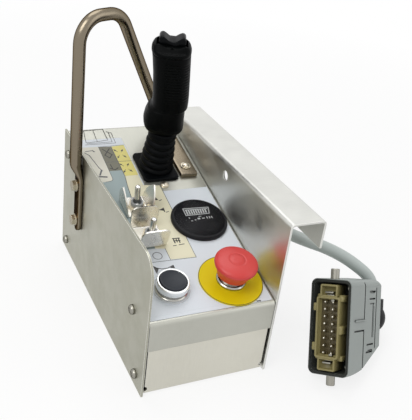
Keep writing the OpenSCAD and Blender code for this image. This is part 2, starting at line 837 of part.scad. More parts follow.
module stop_nut() {
    color(steel) ring_nut(stop_x, stop_s);
}

contact_w = 26;
contact_l = 40;
contact_h = 26;
contact_drop = sheet_t + sleeve_l + 2 + stop_travel + 1;

// Contact block on a ring that grips the button's sleeve
module contact_block(x, s) {
    on_panel(x, s, -contact_drop) {
        translate([-contact_w / 2, -contact_l / 2, -contact_h])
            cube([contact_w, contact_l, contact_h]);
        difference() {
            translate([0, 0, -cut]) cylinder(h = contact_drop - sheet_t - 6, d = sleeve_d + 5);
            cylinder(h = contact_drop, d = sleeve_d);
        }
    }
}

module stop_contacts() {
    color([0.55, 0.12, 0.12]) contact_block(stop_x, stop_s);
}

// ---- Push button ----

push_stem_d = 8;

module push_bezel() {
    r = push_d / 2;
    color([0.82, 0.82, 0.82]) on_panel(-push_x, push_s) rotate_extrude($fn = 72) polygon([
        [push_stem_d / 2 + running_play / 2, -sheet_t - sleeve_l], [sleeve_d / 2, -sheet_t - sleeve_l],
        [sleeve_d / 2, overlay_t], [r, overlay_t], [r, 2], [r - 0.8, push_h - 1],
        [r - 1.4, push_h], [r - 2.2, push_h], [r - 2.4, push_h - 1], [r - 2.4, push_h - 4 - push_travel],
        [push_stem_d / 2 + running_play / 2, push_h - 4 - push_travel],
    ]);
}

module push_cap() {
    r = push_d / 2 - 2.4 - 0.3;
    color(black) on_panel(-push_x, push_s) rotate_extrude($fn = 72) polygon([
        [0, -sheet_t - sleeve_l - 1], [push_stem_d / 2, -sheet_t - sleeve_l - 1],
        [push_stem_d / 2, push_h - 3.5], [r, push_h - 3.5], [r, push_h], [r - 0.8, push_h + 0.8],
        [r - 2, push_h + 0.8], [r - 3, push_h + 0.1], [0, push_h - 0.3],
    ]);
}

module push_nut() {
    color(steel) ring_nut(-push_x, push_s);
}

module push_contacts() {
    color([0.2, 0.4, 0.25]) contact_block(-push_x, push_s);
}

// ---- Toggles ----

bushing_d = 12;
bushing_h = 8;
guard_t = 1.5;
guard_seat = overlay_t;
toggle_pivot_h = 3;
ball_r = 3;
throat_r = 4.3;

module on_toggle(s) {
    on_panel(-toggle_x, s) children();
}

// Ear outline, standing on y = 0: a pointed arch, or a square with round corners
module pointed_ear() {
    reach = (ear1_w * ear1_w / 4 + ear1_h * ear1_h) / ear1_w;
    intersection() {
        translate([ear1_w / 2 - reach, 0]) circle(reach, $fn = 96);
        translate([reach - ear1_w / 2, 0]) circle(reach, $fn = 96);
        translate([-ear1_w / 2, -1]) square([ear1_w, ear1_h + 2]);
    }
}

module round_ear() {
    r = ear2_h / 4;
    translate([-ear2_w / 2, -1]) square([ear2_w, ear2_h + 1 - r]);
    translate([-ear2_w / 2 + r, 0]) square([ear2_w - 2 * r, ear2_h]);
    for (m = [-1, 1]) translate([m * (ear2_w / 2 - r), ear2_h - r]) circle(r);
}

// U-shaped guard whose ears stand at each end of x
module toggle_guard(pointed, w, h) {
    out = (h + guard_t) * tan(ear_lean);
    difference() {
        intersection() {
            along_y(w) folded_outline([
                [-ear_gap / 2 - guard_t - out, h + guard_t], [-ear_gap / 2 - guard_t, 0],
                [ear_gap / 2 + guard_t, 0], [ear_gap / 2 + guard_t + out, h + guard_t],
            ], guard_t, 3);
            rotate([90, 0, 90]) translate([0, 0, -ear_gap]) linear_extrude(2 * ear_gap) {
                if (pointed) pointed_ear();
                else round_ear();
            }
        }
        cylinder(h = 10, d = bushing_d + screw_play, center = true);
    }
}

module toggle_body() {
    difference() {
        union() {
            translate([0, 0, -sheet_t - 4]) cylinder(h = sheet_t + 4 + bushing_h, d = bushing_d);
            translate([-8, -14, -sheet_t - 24]) cube([16, 28, 24]);
        }
        translate([0, 0, toggle_pivot_h - ball_r - 0.05]) cylinder(h = bushing_h + 5, r = throat_r);
    }
}

module toggle_nut() {
    translate([0, 0, guard_seat + guard_t]) hex_nut(15, 3, bushing_d);
}

module toggle_lever() {
    top = bushing_h - toggle_pivot_h + toggle_len;
    rotate_extrude() difference() {
        union() {
            circle(ball_r);
            polygon([[0, 0], [1.7, 0], [1.7, 5], [2.6, 7], [2.7, top - 2.7], [0, top - 2.7]]);
            translate([0, top - 2.7]) circle(2.7);
        }
        translate([-20, -30]) square([20, 80]);
    }
}

module toggle1_guard() {
    color(silver) on_toggle(toggle1_s) translate([0, 0, guard_seat]) toggle_guard(true, ear1_w, ear1_h);
}

module toggle1_body() {
    color(grey) on_toggle(toggle1_s) toggle_body();
}

module toggle1_nut() {
    color(steel) on_toggle(toggle1_s) toggle_nut();
}

module toggle1_lever() {
    color(silver) on_toggle(toggle1_s) translate([0, 0, toggle_pivot_h])
        rotate([-toggle_swing, 0, 0]) toggle_lever();
}

module toggle2_guard() {
    color(silver) on_toggle(toggle2_s) translate([0, 0, guard_seat]) rotate([0, 0, 90])
        toggle_guard(false, ear2_w, ear2_h);
}

module toggle2_body() {
    color(grey) on_toggle(toggle2_s) rotate([0, 0, 90]) toggle_body();
}

module toggle2_nut() {
    color(steel) on_toggle(toggle2_s) toggle_nut();
}

module toggle2_lever() {
    color(silver) on_toggle(toggle2_s) translate([0, 0, toggle_pivot_h]) toggle_lever();
}

// ---- Inside ----

board_w = 90;
board_l = 140;
board_z = 12;
board_y = 30;
post_spots = [for (x = [-1, 1], y = [-1, 1]) [x * (board_w / 2 - 5), board_y + y * (board_l / 2 - 5)]];

module circuit_board() {
    color([0.1, 0.35, 0.2]) difference() {
        union() {
            translate([-board_w / 2, board_y - board_l / 2, board_z]) cube([board_w, board_l, 1.6]);
            for (i = [0:3]) translate([-34 + 18 * i, board_y - 50, board_z + 1]) cube([14, 20, 16]);
            translate([-35, board_y + 40, board_z + 1]) cube([70, 12, 14]);
            translate([-20, board_y - 8, board_z + 1]) cube([30, 30, 3]);
        }
        for (p = post_spots) translate([p[0], p[1], 0]) cylinder(h = 3 * board_z, d = 3.4);
    }
}

module board_posts() {
    color(steel) for (p = post_spots) translate([p[0], p[1], sheet_t]) {
        cylinder(h = board_z - sheet_t, d = 6);
        cylinder(h = board_z - sheet_t + 3, d = 3.2);
    }
}

// ---- Cord and plug ----

gland_len = 22;

module gland_body() {
    color(black) translate([box_w / 2, gland_y, gland_z]) rotate([0, 90, 0]) difference() {
        union() {
            translate([0, 0, -8]) cylinder(h = 16, d = gland_d);
            cylinder(h = 5, d = 28, $fn = 6);
            translate([0, 0, -sheet_t - 4]) cylinder(h = 4, d = 27, $fn = 6);
        }
        translate([0, 0, -13]) cylinder(h = 30, d = cord_d);
    }
}

module gland_nut() {
    color(black) translate([box_w / 2, gland_y, gland_z]) rotate([0, 90, 0]) difference() {
        union() {
            translate([0, 0, 5.3]) cylinder(h = 9, d = 27, $fn = 6);
            translate([0, 0, 14]) cylinder(h = gland_len - 14, d1 = 24, d2 = cord_d + 4);
        }
        translate([0, 0, 5]) cylinder(h = 3.2, d = gland_d + 0.1);
        cylinder(h = 2 * gland_len, d = cord_d);
    }
}

// Route of the cord's centre line, from the box's gland to the plug's gland
cord_route = [
    [66, 12, 62], [84, 12, 62], [95, 8, 65], [104, -3, 74], [111, -18, 83], [117, -38, 90],
    [123, -58, 93], [130, -71, 94], [145, -80, 90], [161, -89, 83], [175, -96, 74],
    [187, -100, 64], [194, -102, 54], [196, -103, 44], [194, -107, 34],
];

function route_dir(i) = unit(
    (i < len(cord_route) - 1 ? cord_route[i + 1] : cord_route[i])
    - (i > 0 ? cord_route[i - 1] : cord_route[i])
);

module cord() {
    sides = 12;
    color(grey) skin([
        for (i = [0:len(cord_route) - 1])
            let (t = route_dir(i), u = unit(cross(t, [1, 1, 1])), w = cross(t, u))
            [for (j = [0:sides - 1]) let (a = 360 * j / sides)
                cord_route[i] + (u * cos(a) + w * sin(a)) * cord_d / 2]
    ]);
}

plug_at = [111, -151.5, 53.5];
plug_yaw = -67;
plug_pitch = -23;
plug_roll = -23;

// Plug frame: x across the face, y into the hood, z along the face
module on_plug() {
    translate(plug_at) rotate([0, 0, plug_yaw]) rotate([plug_pitch, 0, 0])
        rotate([0, plug_roll, 0]) children();
}

hood_corner_r = 6;
// Grooves in the hood's sides: start and length into the hood, start and length along the face
hood_grooves = [
    [0.44, 0.014, 0.07, 0.41], [0.44, 0.014, -0.42, 0.394], [0.14, 0.314, 0.07, 0.014],
    [0.14, 0.314, -0.04, 0.014], [0.83, 0.014, -0.20, 0.58], [0.76, 0.014, -0.12, 0.34],
    [0.62, 0.15, 0.36, 0.014], [0.62, 0.15, 0.24, 0.014], [0.60, 0.15, -0.26, 0.014],
];
back_low = -plug_l / 2 + 24;
hood_cavity = 38;
hood_mouth = 14;
peg_y = 7;
elbow_y = plug_depth + 22;
elbow_z = 5;
elbow_r = 16;

// Prism of a (x, z) outline along y, from y = 0
module into_hood(depth) {
    translate([0, depth, 0]) rotate([90, 0, 0]) linear_extrude(depth) children();
}

module hood_outline() {
    along_x(plug_w) polygon([
        [0, plug_l / 2], [plug_depth - 5, plug_l / 2], [plug_depth, plug_l / 2 - 5],
        [plug_depth, back_low], [31, -plug_l / 2 + 5], [8, -plug_l / 2], [0, -plug_l / 2],
    ]);
}

module plug_hood() {
    color(grey) on_plug() difference() {
        intersection() {
            into_hood(plug_depth) round_outline(plug_w, plug_l, hood_corner_r);
            hood_outline();
        }
        translate([0, -cut, 0]) into_hood(hood_mouth + cut)
            round_outline(plug_w - 2 * hood_wall, plug_l - 2 * hood_wall - 1, hood_corner_r - hood_wall);
        translate([0, -cut, 0]) into_hood(hood_cavity + cut)
            round_outline(plug_w - 2 * hood_wall, insert_l + 4, 2);
        for (m = [0, 1]) mirror([0, 0, m]) translate([0, peg_y, 0])
            cylinder(h = plug_l, d = peg_d - 2);
        for (m = [-1, 1], g = hood_grooves)
            translate([m * plug_w / 2 - 0.8, g[0] * plug_depth, g[2] * plug_l])
                cube([1.6, g[1] * plug_depth, g[3] * plug_l]);
    }
}

module plug_gasket() {
    color(black) on_plug() translate([0, -1, 0]) into_hood(1) difference() {
        round_outline(plug_w - 1, plug_l - 1, hood_corner_r - 0.5);
        round_outline(plug_w - 2 * hood_wall, plug_l - 2 * hood_wall - 1, hood_corner_r - hood_wall);
    }
}

insert_w = 26;
insert_l = 62;
pin_rows = 8;
pin_pitch = 6.8;
pin_d = 2.5;
pin_gap = 7.4;

module plug_insert() {
    color(khaki) on_plug() difference() {
        union() {
            translate([0, 3, 0]) into_hood(hood_cavity - 5) round_outline(insert_w, insert_l, 2);
            translate([0, 6, 0]) into_hood(hood_mouth - 6)
                round_outline(insert_w - 8, plug_l - 2 * hood_wall - 3, 2);
            for (m = [-1, 1]) translate([0, 5, m * 22]) into_hood(20)
                round_outline(insert_w + 5, 7, 1.5);
        }
        translate([0, 2, 0]) into_hood(9) round_outline(insert_w - 5, insert_l - 6, 2);
        pin_spots() translate([0, 6, 0]) rotate([-90, 0, 0]) cylinder(h = 19, d = pin_d);
    }
}

module pin_spots() {
    for (m = [-1, 1], i = [0:pin_rows - 1])
        translate([m * pin_gap / 2, 0, (i - (pin_rows - 1) / 2) * pin_pitch]) children();
}

module plug_pins() {
    color([0.85, 0.83, 0.75]) on_plug() pin_spots() {
        translate([0, 5, 0]) rotate([-90, 0, 0]) cylinder(h = 20, d = pin_d);
    }
}

module plug_screws() {
    color(steel) on_plug() for (m = [-1, 1])
        translate([0, 6, m * (insert_l / 2 + 4.2)]) rotate([90, 0, 0]) cylinder(h = 1.6, d = 5.6);
}

module plug_pegs() {
    color(steel) on_plug() for (m = [0, 1]) mirror([0, 0, m])
        translate([0, peg_y, plug_l / 2 - hood_wall]) {
            cylinder(h = hood_wall, d = peg_d - 2);
            translate([0, 0, hood_wall]) cylinder(h = peg_len, d = peg_d);
            translate([0, 0, peg_len + hood_wall]) cylinder(h = 0.6, d1 = peg_d, d2 = peg_d - 1.2);
        }
}

module plug_gland() {
    color(black) on_plug() difference() {
        union() {
            translate([0, plug_depth, elbow_z]) rotate([-90, 0, 0]) cylinder(h = 14, d = 22);
            translate([0, elbow_y, elbow_z]) sphere(r = elbow_r);
            translate([0, elbow_y, elbow_z]) cylinder(h = 19, r = elbow_r - 2.5);
        }
        translate([0, elbow_y, elbow_z + 6]) cylinder(h = 20, d = cord_d + 0.4);
    }
}

base_tray();
left_side_plate();
right_side_plate();
control_panel();
panel_overlay();
side_screws();
handle_tube();
handle_bolts();
handle_nuts();
foot_screws();
foot_nuts();
boot_flange();
rubber_boot();
housing_screws();
joystick_housing();
lever_axle();
lever_shaft();
centring_spring();
grip_body();
grip_cap();
thumb_rocker();
rocker_pin();
grip_trigger();
trigger_pin();
trigger_switch();
meter_case();
meter_dial();
meter_lens();
meter_ring();
stop_plate();
stop_collar();
stop_head();
stop_stem();
stop_nut();
stop_contacts();
push_bezel();
push_cap();
push_nut();
push_contacts();
toggle1_guard();
toggle1_body();
toggle1_nut();
toggle1_lever();
toggle2_guard();
toggle2_body();
toggle2_nut();
toggle2_lever();
circuit_board();
board_posts();
gland_body();
gland_nut();
cord();
plug_hood();
plug_gasket();
plug_insert();
plug_pins();
plug_screws();
plug_pegs();
plug_gland();
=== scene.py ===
"""Looks for the joystick control box.

Materials, printed marks and rounded pieces are put around the CAD frame.
"""

import json
import math

import bmesh
import bpy
import numpy as np
from mathutils import Matrix, Vector


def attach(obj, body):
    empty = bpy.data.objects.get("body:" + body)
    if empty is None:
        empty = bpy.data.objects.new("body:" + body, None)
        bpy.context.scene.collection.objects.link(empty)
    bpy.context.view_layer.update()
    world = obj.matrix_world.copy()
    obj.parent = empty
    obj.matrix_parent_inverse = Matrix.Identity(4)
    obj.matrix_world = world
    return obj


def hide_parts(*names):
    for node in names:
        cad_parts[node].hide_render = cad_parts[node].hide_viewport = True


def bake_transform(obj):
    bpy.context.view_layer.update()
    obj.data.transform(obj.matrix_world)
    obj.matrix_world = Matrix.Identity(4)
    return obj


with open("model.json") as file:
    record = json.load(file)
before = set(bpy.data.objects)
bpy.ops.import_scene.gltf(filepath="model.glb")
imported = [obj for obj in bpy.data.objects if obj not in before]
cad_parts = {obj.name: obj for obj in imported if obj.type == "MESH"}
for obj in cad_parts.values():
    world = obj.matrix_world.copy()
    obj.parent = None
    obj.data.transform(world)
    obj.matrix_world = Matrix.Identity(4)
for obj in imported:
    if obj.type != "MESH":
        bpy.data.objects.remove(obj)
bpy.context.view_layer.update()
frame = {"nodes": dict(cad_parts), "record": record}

MM = 0.001


# ---------------------------------------------------------------- camera

AZIMUTH, ELEVATION, ROLL = (math.radians(a) for a in (28.2, 28.6, 7.7))
EYE = Vector((-0.2500, -0.5570, 0.4452))
LENS, SENSOR = 60.94, 36.0


def make_camera():
    """Camera at EYE, turned AZIMUTH from +Y, down by ELEVATION and rolled about its own axis."""
    fwd = Vector((math.sin(AZIMUTH) * math.cos(ELEVATION),
                  math.cos(AZIMUTH) * math.cos(ELEVATION), -math.sin(ELEVATION)))
    right = fwd.cross(Vector((0, 0, 1))).normalized()
    up = right.cross(fwd)
    across = math.cos(ROLL) * right + math.sin(ROLL) * up
    above = -math.sin(ROLL) * right + math.cos(ROLL) * up
    data = bpy.data.cameras.new("camera")
    data.lens = LENS
    data.sensor_width = data.sensor_height = SENSOR
    data.sensor_fit = "AUTO"
    cam = bpy.data.objects.new("camera", data)
    bpy.context.collection.objects.link(cam)
    axes = Matrix((across, above, -fwd)).transposed().to_4x4()
    cam.matrix_world = Matrix.Translation(EYE) @ axes
    bpy.context.scene.camera = cam


make_camera()

# ---------------------------------------------------------------- frames


def turned(axis, degrees):
    """Rotation matrix about one of the axes x, y, z."""
    c, s = math.cos(math.radians(degrees)), math.sin(math.radians(degrees))
    i = "xyz".index(axis)
    j, k = (i + 1) % 3, (i + 2) % 3
    m = np.eye(3)
    m[j, j] = m[k, k] = c
    m[j, k], m[k, j] = -s, s
    return m


class Place:
    """A frame in millimetres: called with points of the frame, it gives metres in the scene."""

    def __init__(self, origin, axes):
        self.origin, self.axes = np.asarray(origin, float), axes

    def __call__(self, points):
        return (np.asarray(points, float) @ self.axes.T + self.origin) * MM

    def at(self, x, y, z, axes=None):
        """Frame at a point of this one, turned by axes if they are given."""
        origin = self.origin + self.axes @ np.array([x, y, z], float)
        return Place(origin, self.axes if axes is None else self.axes @ axes)


# The panel's frame has x to the right, y up the slope from the front bend and z off the panel.
# Places on the panel are given as (x, s, h). The grip's frame stands on the lever, and the plug's
# has x across the mouth, y into the hood and z along the rows of pins.
WORLD = Place((0, 0, 0), np.eye(3))
SLOPE = 13.1205
PANEL = Place((0, -133, 78), turned("x", SLOPE))
BOX_SIDE = 62.0
STICK_X, STICK_S = 14.5, 198
GRIP_BASE = 49
GRIP = PANEL.at(STICK_X, STICK_S, GRIP_BASE, turned("x", -5) @ turned("y", -3) @ turned("z", -22))
PLUG = Place((111, -151.5, 53.5), turned("z", -67) @ turned("x", -23) @ turned("y", -23))

# ---------------------------------------------------------------- shapes


def add_mesh(name, verts, faces, smooth=True):
    """Object at the origin, with its place in its mesh."""
    mesh = bpy.data.meshes.new(name)
    mesh.from_pydata(np.asarray(verts, float).tolist(), [], faces)
    mesh.update()
    mesh.polygons.foreach_set("use_smooth", [smooth] * len(mesh.polygons))
    obj = bpy.data.objects.new(name, mesh)
    bpy.context.collection.objects.link(obj)
    return obj


def quads_of(rows, columns, first=0):
    """Faces of a grid whose columns close on themselves: each cell joins (j, i) to (j+1, i+1)."""
    index = first + np.arange(rows * columns).reshape(rows, columns)
    following = np.roll(index, -1, axis=1)
    cells = np.stack([index[:-1], following[:-1], following[1:], index[1:]], -1)
    return cells.reshape(-1, 4).tolist(), index[0][::-1].tolist(), index[-1].tolist()


def skin(name, grid, place, smooth=True):
    """Closed skin through the rings grid[j], capped at both ends."""
    rows, columns = grid.shape[:2]
    faces, bottom, top = quads_of(rows, columns)
    return add_mesh(name, place(grid.reshape(-1, 3)), faces + [bottom, top], smooth)


def skins(name, grids, place, smooth=True):
    """Several closed skins in one mesh."""
    verts, faces, first = [], [], 0
    for grid in grids:
        rows, columns = grid.shape[:2]
        sides, bottom, top = quads_of(rows, columns, first)
        verts.append(grid.reshape(-1, 3))
        faces += sides + [bottom, top]
        first += rows * columns
    return add_mesh(name, place(np.concatenate(verts)), faces, smooth)


def turned_grid(profile, columns=96):
    """Surface of revolution: (r cos a, r sin a, h) for each (r, h) of the profile and angle a."""
    r, h = np.asarray(profile, float).T
    a = np.linspace(0, 2 * np.pi, columns, endpoint=False)
    x, y, z = np.outer(r, np.cos(a)), np.outer(r, np.sin(a)), np.outer(h, np.ones(columns))
    return np.stack([x, y, z], -1)


def eased(points, radius, steps=5):
    """Polyline with its inner corners replaced by quadratic arcs (1-t)^2 s + 2t(1-t) b + t^2 e.

    An arc starts radius away from its corner b, or at 0.45 of the shorter side next to it.
    """
    p = np.asarray(points, float)
    a, b, c = p[:-2], p[1:-1], p[2:]
    back, on = a - b, c - b
    before, after = np.linalg.norm(back, axis=1), np.linalg.norm(on, axis=1)
    reach = np.minimum(radius, 0.45 * np.minimum(before, after))
    start = b + back * (reach / before)[:, None]
    end = b + on * (reach / after)[:, None]
    t = np.linspace(0, 1, steps)[None, :, None]
    arcs = (1 - t) ** 2 * start[:, None] + 2 * t * (1 - t) * b[:, None] + t ** 2 * end[:, None]
    return np.concatenate([p[:1], arcs.reshape(-1, p.shape[1]), p[-1:]])


def oval(rx, ry, power, columns=128):
    """Superellipse: |x/rx|^power + |y/ry|^power = 1, for one or many radii."""
    rx, ry, power = (np.atleast_1d(np.asarray(v, float))[:, None] for v in (rx, ry, power))
    a = np.linspace(0, 2 * np.pi, columns, endpoint=False)[None]
    c, s = np.cos(a), np.sin(a)
    return rx * np.sign(c) * abs(c) ** (2 / power), ry * np.sign(s) * abs(s) ** (2 / power)


def plate_ring(w, l, r, inset=0.0, corner=8):
    """Outline of a w by l plate with round corners, moved inwards by inset."""
    r = max(r - inset, 0.05)
    quarter = np.radians(np.linspace(0, 90, corner))
    turns = np.radians([0, 90, 180, 270])[:, None] + quarter
    corners = np.array([[1, 1], [-1, 1], [-1, -1], [1, -1]])
    centres = corners * (w / 2 - inset - r, l / 2 - inset - r)
    ring = centres[:, None] + r * np.stack([np.cos(turns), np.sin(turns)], -1)
    return ring.reshape(-1, 2)


def plate_grid(w, l, r, layers, corner=8):
    """Rings of plate_ring, one for each (inset, height) of layers."""
    return np.stack([
        np.column_stack([plate_ring(w, l, r, inset, corner), np.full(4 * corner, float(h))])
        for inset, h in layers
    ])


def smooth_step(x, low, high):
    """Rise 3 t^2 - 2 t^3 from 0 at low to 1 at high."""
    t = np.clip((x - low) / (high - low), 0, 1)
    return t * t * (3 - 2 * t)


def into_plug(grid):
    """Turns a grid drawn in (across, along, depth) to the plug's (x, y into the hood, z)."""
    return np.stack([grid[..., 0], grid[..., 2], grid[..., 1]], -1)[:, ::-1]


def swept(path, radius, columns=28):
    """Tube grid: path + radius (cos a side + sin a other), its side carried on by projection."""
    path = np.asarray(path, float)
    along = np.gradient(path, axis=0)
    along /= np.linalg.norm(along, axis=1)[:, None]
    sides = []
    side = np.cross(along[0], (0, 0, 1))
    for t in along:
        side = side - t * side.dot(t)
        side /= np.linalg.norm(side)
        sides.append(side)
    sides = np.array(sides)
    other = np.cross(along, sides)
    a = np.linspace(0, 2 * np.pi, columns, endpoint=False)[None, :, None]
    return path[:, None] + radius * (np.cos(a) * sides[:, None] + np.sin(a) * other[:, None])


def spline(points, count):
    """Catmull-Rom curve through points: a cubic of the four points nearest to each sample."""
    p = np.asarray(points, float)
    p = np.vstack([2 * p[0] - p[1], p, 2 * p[-1] - p[-2]])
    u = np.linspace(0, len(points) - 1, count)
    k = np.minimum(u.astype(int), len(points) - 2)
    t = (u - k)[:, None]
    a, b, c, d = p[k], p[k + 1], p[k + 2], p[k + 3]
    return 0.5 * (2 * b + (c - a) * t + (2 * a - 5 * b + 4 * c - d) * t ** 2
                  + (3 * b - a - 3 * c + d) * t ** 3)


# ---------------------------------------------------------------- materials


def give(socket, value):
    """Links a socket to a value or to another socket, or sets it."""
    if isinstance(value, Value):
        value = value.socket
    if isinstance(value, bpy.types.NodeSocket):
        socket.id_data.links.new(value, socket)
    else:
        socket.default_value = value


def fill(node, inputs):
    """Values or links of a node's sockets by name, with _ for a space: the first in use counts."""
    for key, value in inputs.items():
        name = key.replace("_", " ").lower()
        give(next(s for s in node.inputs if s.name.lower() == name and s.enabled), value)


def add_node(tree, kind, settings=None, **inputs):
    """Node of a kind: first its settings, then the values or links of its sockets."""
    node = tree.nodes.new(kind)
    for key, value in (settings or {}).items():
        setattr(node, key, value)
    fill(node, inputs)
    return node


class Value:
    """A shader socket that takes part in sums."""

    def __init__(self, tree, socket):
        self.tree, self.socket = tree, socket

    def math(self, operation, *others):
        """Math node on this value and others, which are values or numbers."""
        node = add_node(self.tree, "ShaderNodeMath", {"operation": operation})
        for socket, item in zip(node.inputs, (self,) + others):
            give(socket, item)
        return Value(self.tree, node.outputs[0])

    def __add__(self, o):
        return self.math("ADD", o)

    def __sub__(self, o):
        return self.math("SUBTRACT", o)

    def __mul__(self, o):
        return self.math("MULTIPLY", o)

    def __rsub__(self, o):
        return self * -1 + o

    __radd__ = __add__
    __rmul__ = __mul__

    def between(self, low, high, to_low=0.0, to_high=1.0):
        """Linear map of low..high to to_low..to_high, held at both ends."""
        node = add_node(self.tree, "ShaderNodeMapRange", Value=self, From_Min=low, From_Max=high,
                        To_Min=to_low, To_Max=to_high)
        return Value(self.tree, node.outputs[0])


class Material:
    """A material with one Principled shader, whose patterns read Object coordinates."""

    def __init__(self, name):
        self.mat = bpy.data.materials.new(name)
        self.mat.use_nodes = True
        self.tree = self.mat.node_tree
        self.tree.nodes.clear()
        self.out = self.node("ShaderNodeOutputMaterial")
        self.shader = self.node("ShaderNodeBsdfPrincipled")
        give(self.out.inputs[0], self.shader.outputs[0])

    def node(self, kind, settings=None, **inputs):
        """Node of this material, as add_node makes it."""
        return add_node(self.tree, kind, settings, **inputs)

    def set(self, **inputs):
        """Values or links of the shader's own sockets."""
        fill(self.shader, inputs)
        return self

    def position(self):
        """Object coordinates, in metres."""
        return self.node("ShaderNodeTexCoord").outputs["Object"]

    def noise(self, scale, detail=4.0, roughness=0.55):
        """Noise with scale waves per metre along X, Y and Z."""
        stretched = self.node("ShaderNodeMapping", Vector=self.position(), Scale=scale)
        node = self.node("ShaderNodeTexNoise", Vector=stretched.outputs[0], Scale=1.0,
                         Detail=detail, Roughness=roughness)
        return Value(self.tree, node.outputs[0])

    def blend(self, factor, first, second):
        """Colour first where factor is 0 and second where it is 1."""
        node = self.node("ShaderNodeMix", {"data_type": "RGBA"})
        give(node.inputs[0], factor)
        for socket, color in ((node.inputs[6], first), (node.inputs[7], second)):
            give(socket, (*color, 1.0) if isinstance(color, tuple) else color)
        return node.outputs[2]

    def corner(self, reach):
        """1 near a sharp corner and 0 away from it.

        The rounded normal . own normal falls from 1 as the corner within reach gets sharper.
        """
        soft = self.node("ShaderNodeBevel", {"samples": 6}, Radius=reach)
        own = self.node("ShaderNodeNewGeometry")
        dot = self.node("ShaderNodeVectorMath", {"operation": "DOT_PRODUCT"})
        give(dot.inputs[0], soft.outputs[0])
        give(dot.inputs[1], own.outputs["Normal"])
        return Value(self.tree, dot.outputs["Value"]).between(0.80, 0.99, 1.0, 0.0)

    def bump(self, height, distance, strength=1.0, edge=0.0):
        """Relief of a height map, its corners rounded in the shading up to the distance edge."""
        node = self.node("ShaderNodeBump", Height=height, Distance=distance, Strength=strength)
        if edge:
            soft = self.node("ShaderNodeBevel", {"samples": 4}, Radius=edge)
            give(node.inputs["Normal"], soft.outputs[0])
        return self.set(Normal=node.outputs[0])


# Colour of the painted highlight along sheet edges
EDGE_HIGHLIGHT_COLOR = (0.93, 0.93, 0.90)


def brushed(name, color, rough, grain, depth=0.00006, edge=0.0006, wear=0.10, rim=(1, 1, 1),
            highlight_reach=0.0):
    """Brushed or rolled metal: grain holds the noise scale along X, Y and Z.

    rim tints grazing reflections, and a painted highlight brightens the edges up to the given reach
    from a corner.
    """
    m = Material(name)
    m.set(Specular_Tint=(*rim, 1.0))
    fine = m.noise(grain, 5, 0.6)
    broad = m.noise((9, 9, 9), 3, 0.5)
    smudge = m.noise((38, 38, 38), 5, 0.65)
    tone = m.blend(broad.between(0.35, 0.65), tuple(c * (1 - wear) for c in color), color)
    tone = m.blend(fine.between(0.3, 0.7, 0.0, 0.5), tone, tuple(min(1, c * 1.06) for c in color))
    # Painted highlight: near a corner the colour is blended towards a near white
    if highlight_reach:
        tone = m.blend(m.corner(highlight_reach), tone, EDGE_HIGHLIGHT_COLOR)
    m.set(Base_Color=tone, Metallic=1.0,
          Roughness=fine * 0.12 + smudge.between(0.4, 0.7, rough - 0.06, rough + 0.10))
    return m.bump(fine, depth, 0.5, edge).mat


def moulded(name, color, rough, grain=900.0, depth=0.00004, edge=0.0004, coat=0.0, dust=0.06,
            sheen=0.5, painted_shade_reach=0.0):
    """Moulded plastic or paint, finely textured and dusty, with painted shade in gaps narrower than
    the given reach.
    """
    m = Material(name)
    m.set(Specular_IOR_Level=sheen)
    fine = m.noise((grain,) * 3, 3, 0.6)
    broad = m.noise((30, 30, 30), 4, 0.6)
    pale = tuple(min(1.0, c + dust * (1 - c)) for c in color)
    tone = m.blend(broad.between(0.45, 0.75, 0.0, 0.6), color, pale)
    # Painted shade: ambient occlusion darkens the colour to a tenth in narrow gaps
    if painted_shade_reach:
        shade = m.node("ShaderNodeAmbientOcclusion", {"samples": 8, "only_local": True},
                       Distance=painted_shade_reach)
        open_share = Value(m.tree, shade.outputs["AO"]).between(0.45, 0.90)
        tone = m.blend(open_share, tuple(c * 0.10 for c in color), tone)
    m.set(Base_Color=tone, Coat_Weight=coat, Coat_Roughness=0.12,
          Roughness=broad.between(0.35, 0.7, rough - 0.05, rough + 0.08))
    return m.bump(fine, depth, 0.6, edge).mat


# Painted light: one sheet steel, darker on the shaded left plate, lighter on the lit tray and right
# plate
SHADED_STEEL = brushed("shaded_grained_steel", (0.40, 0.395, 0.325), 0.36, (40, 40, 2400), depth=0.00004,
                highlight_reach=0.0008)
LIT_TRAY_STEEL = brushed("lit_tray_steel", (0.65, 0.635, 0.56), 0.38, (2000, 60, 60), depth=0.00003,
                     highlight_reach=0.0006)
LIT_HOOK_STEEL = brushed("lit_hook_steel", (0.68, 0.68, 0.645), 0.34, (60, 2200, 60), depth=0.00003,
                     highlight_reach=0.0008)
STEEL_PANEL = brushed("panel_steel", (0.48, 0.48, 0.43), 0.36, (2000, 60, 60), depth=0.00003)
TUBE_STEEL = brushed("tube_steel", (0.23, 0.195, 0.145), 0.20, (14, 14, 9), depth=0.0, edge=0.0003,
                     wear=0.06, rim=(0.10, 0.08, 0.06))
ZINC = brushed("zinc_steel", (0.70, 0.64, 0.52), 0.20, (900, 900, 900), depth=0.00001, edge=0.0003,
               rim=(0.4, 0.4, 0.4))
GUARD_SHEET = brushed("guard_sheet", (0.86, 0.84, 0.78), 0.22, (300, 900, 300), depth=0.00001,
                      edge=0.0003, highlight_reach=0.0004)
CHROME = brushed("chrome_trim", (0.80, 0.80, 0.79), 0.12, (400, 400, 400), depth=0.00001,
                 edge=0.0003, wear=0.04, rim=(0.3, 0.3, 0.3))
RING_METAL = brushed("ring_metal", (0.92, 0.93, 0.93), 0.30, (400, 400, 400), depth=0.00001,
                     edge=0.0003, wear=0.03)
SLEEVE_METAL = brushed("sleeve_metal", (0.42, 0.41, 0.38), 0.14, (400, 400, 400), depth=0.00001,
                       edge=0.0003, wear=0.04)
PEG_METAL = brushed("peg_metal", (0.34, 0.33, 0.29), 0.26, (300, 300, 300), depth=0.00001,
                    edge=0.0002, wear=0.10, rim=(0.2, 0.2, 0.2))
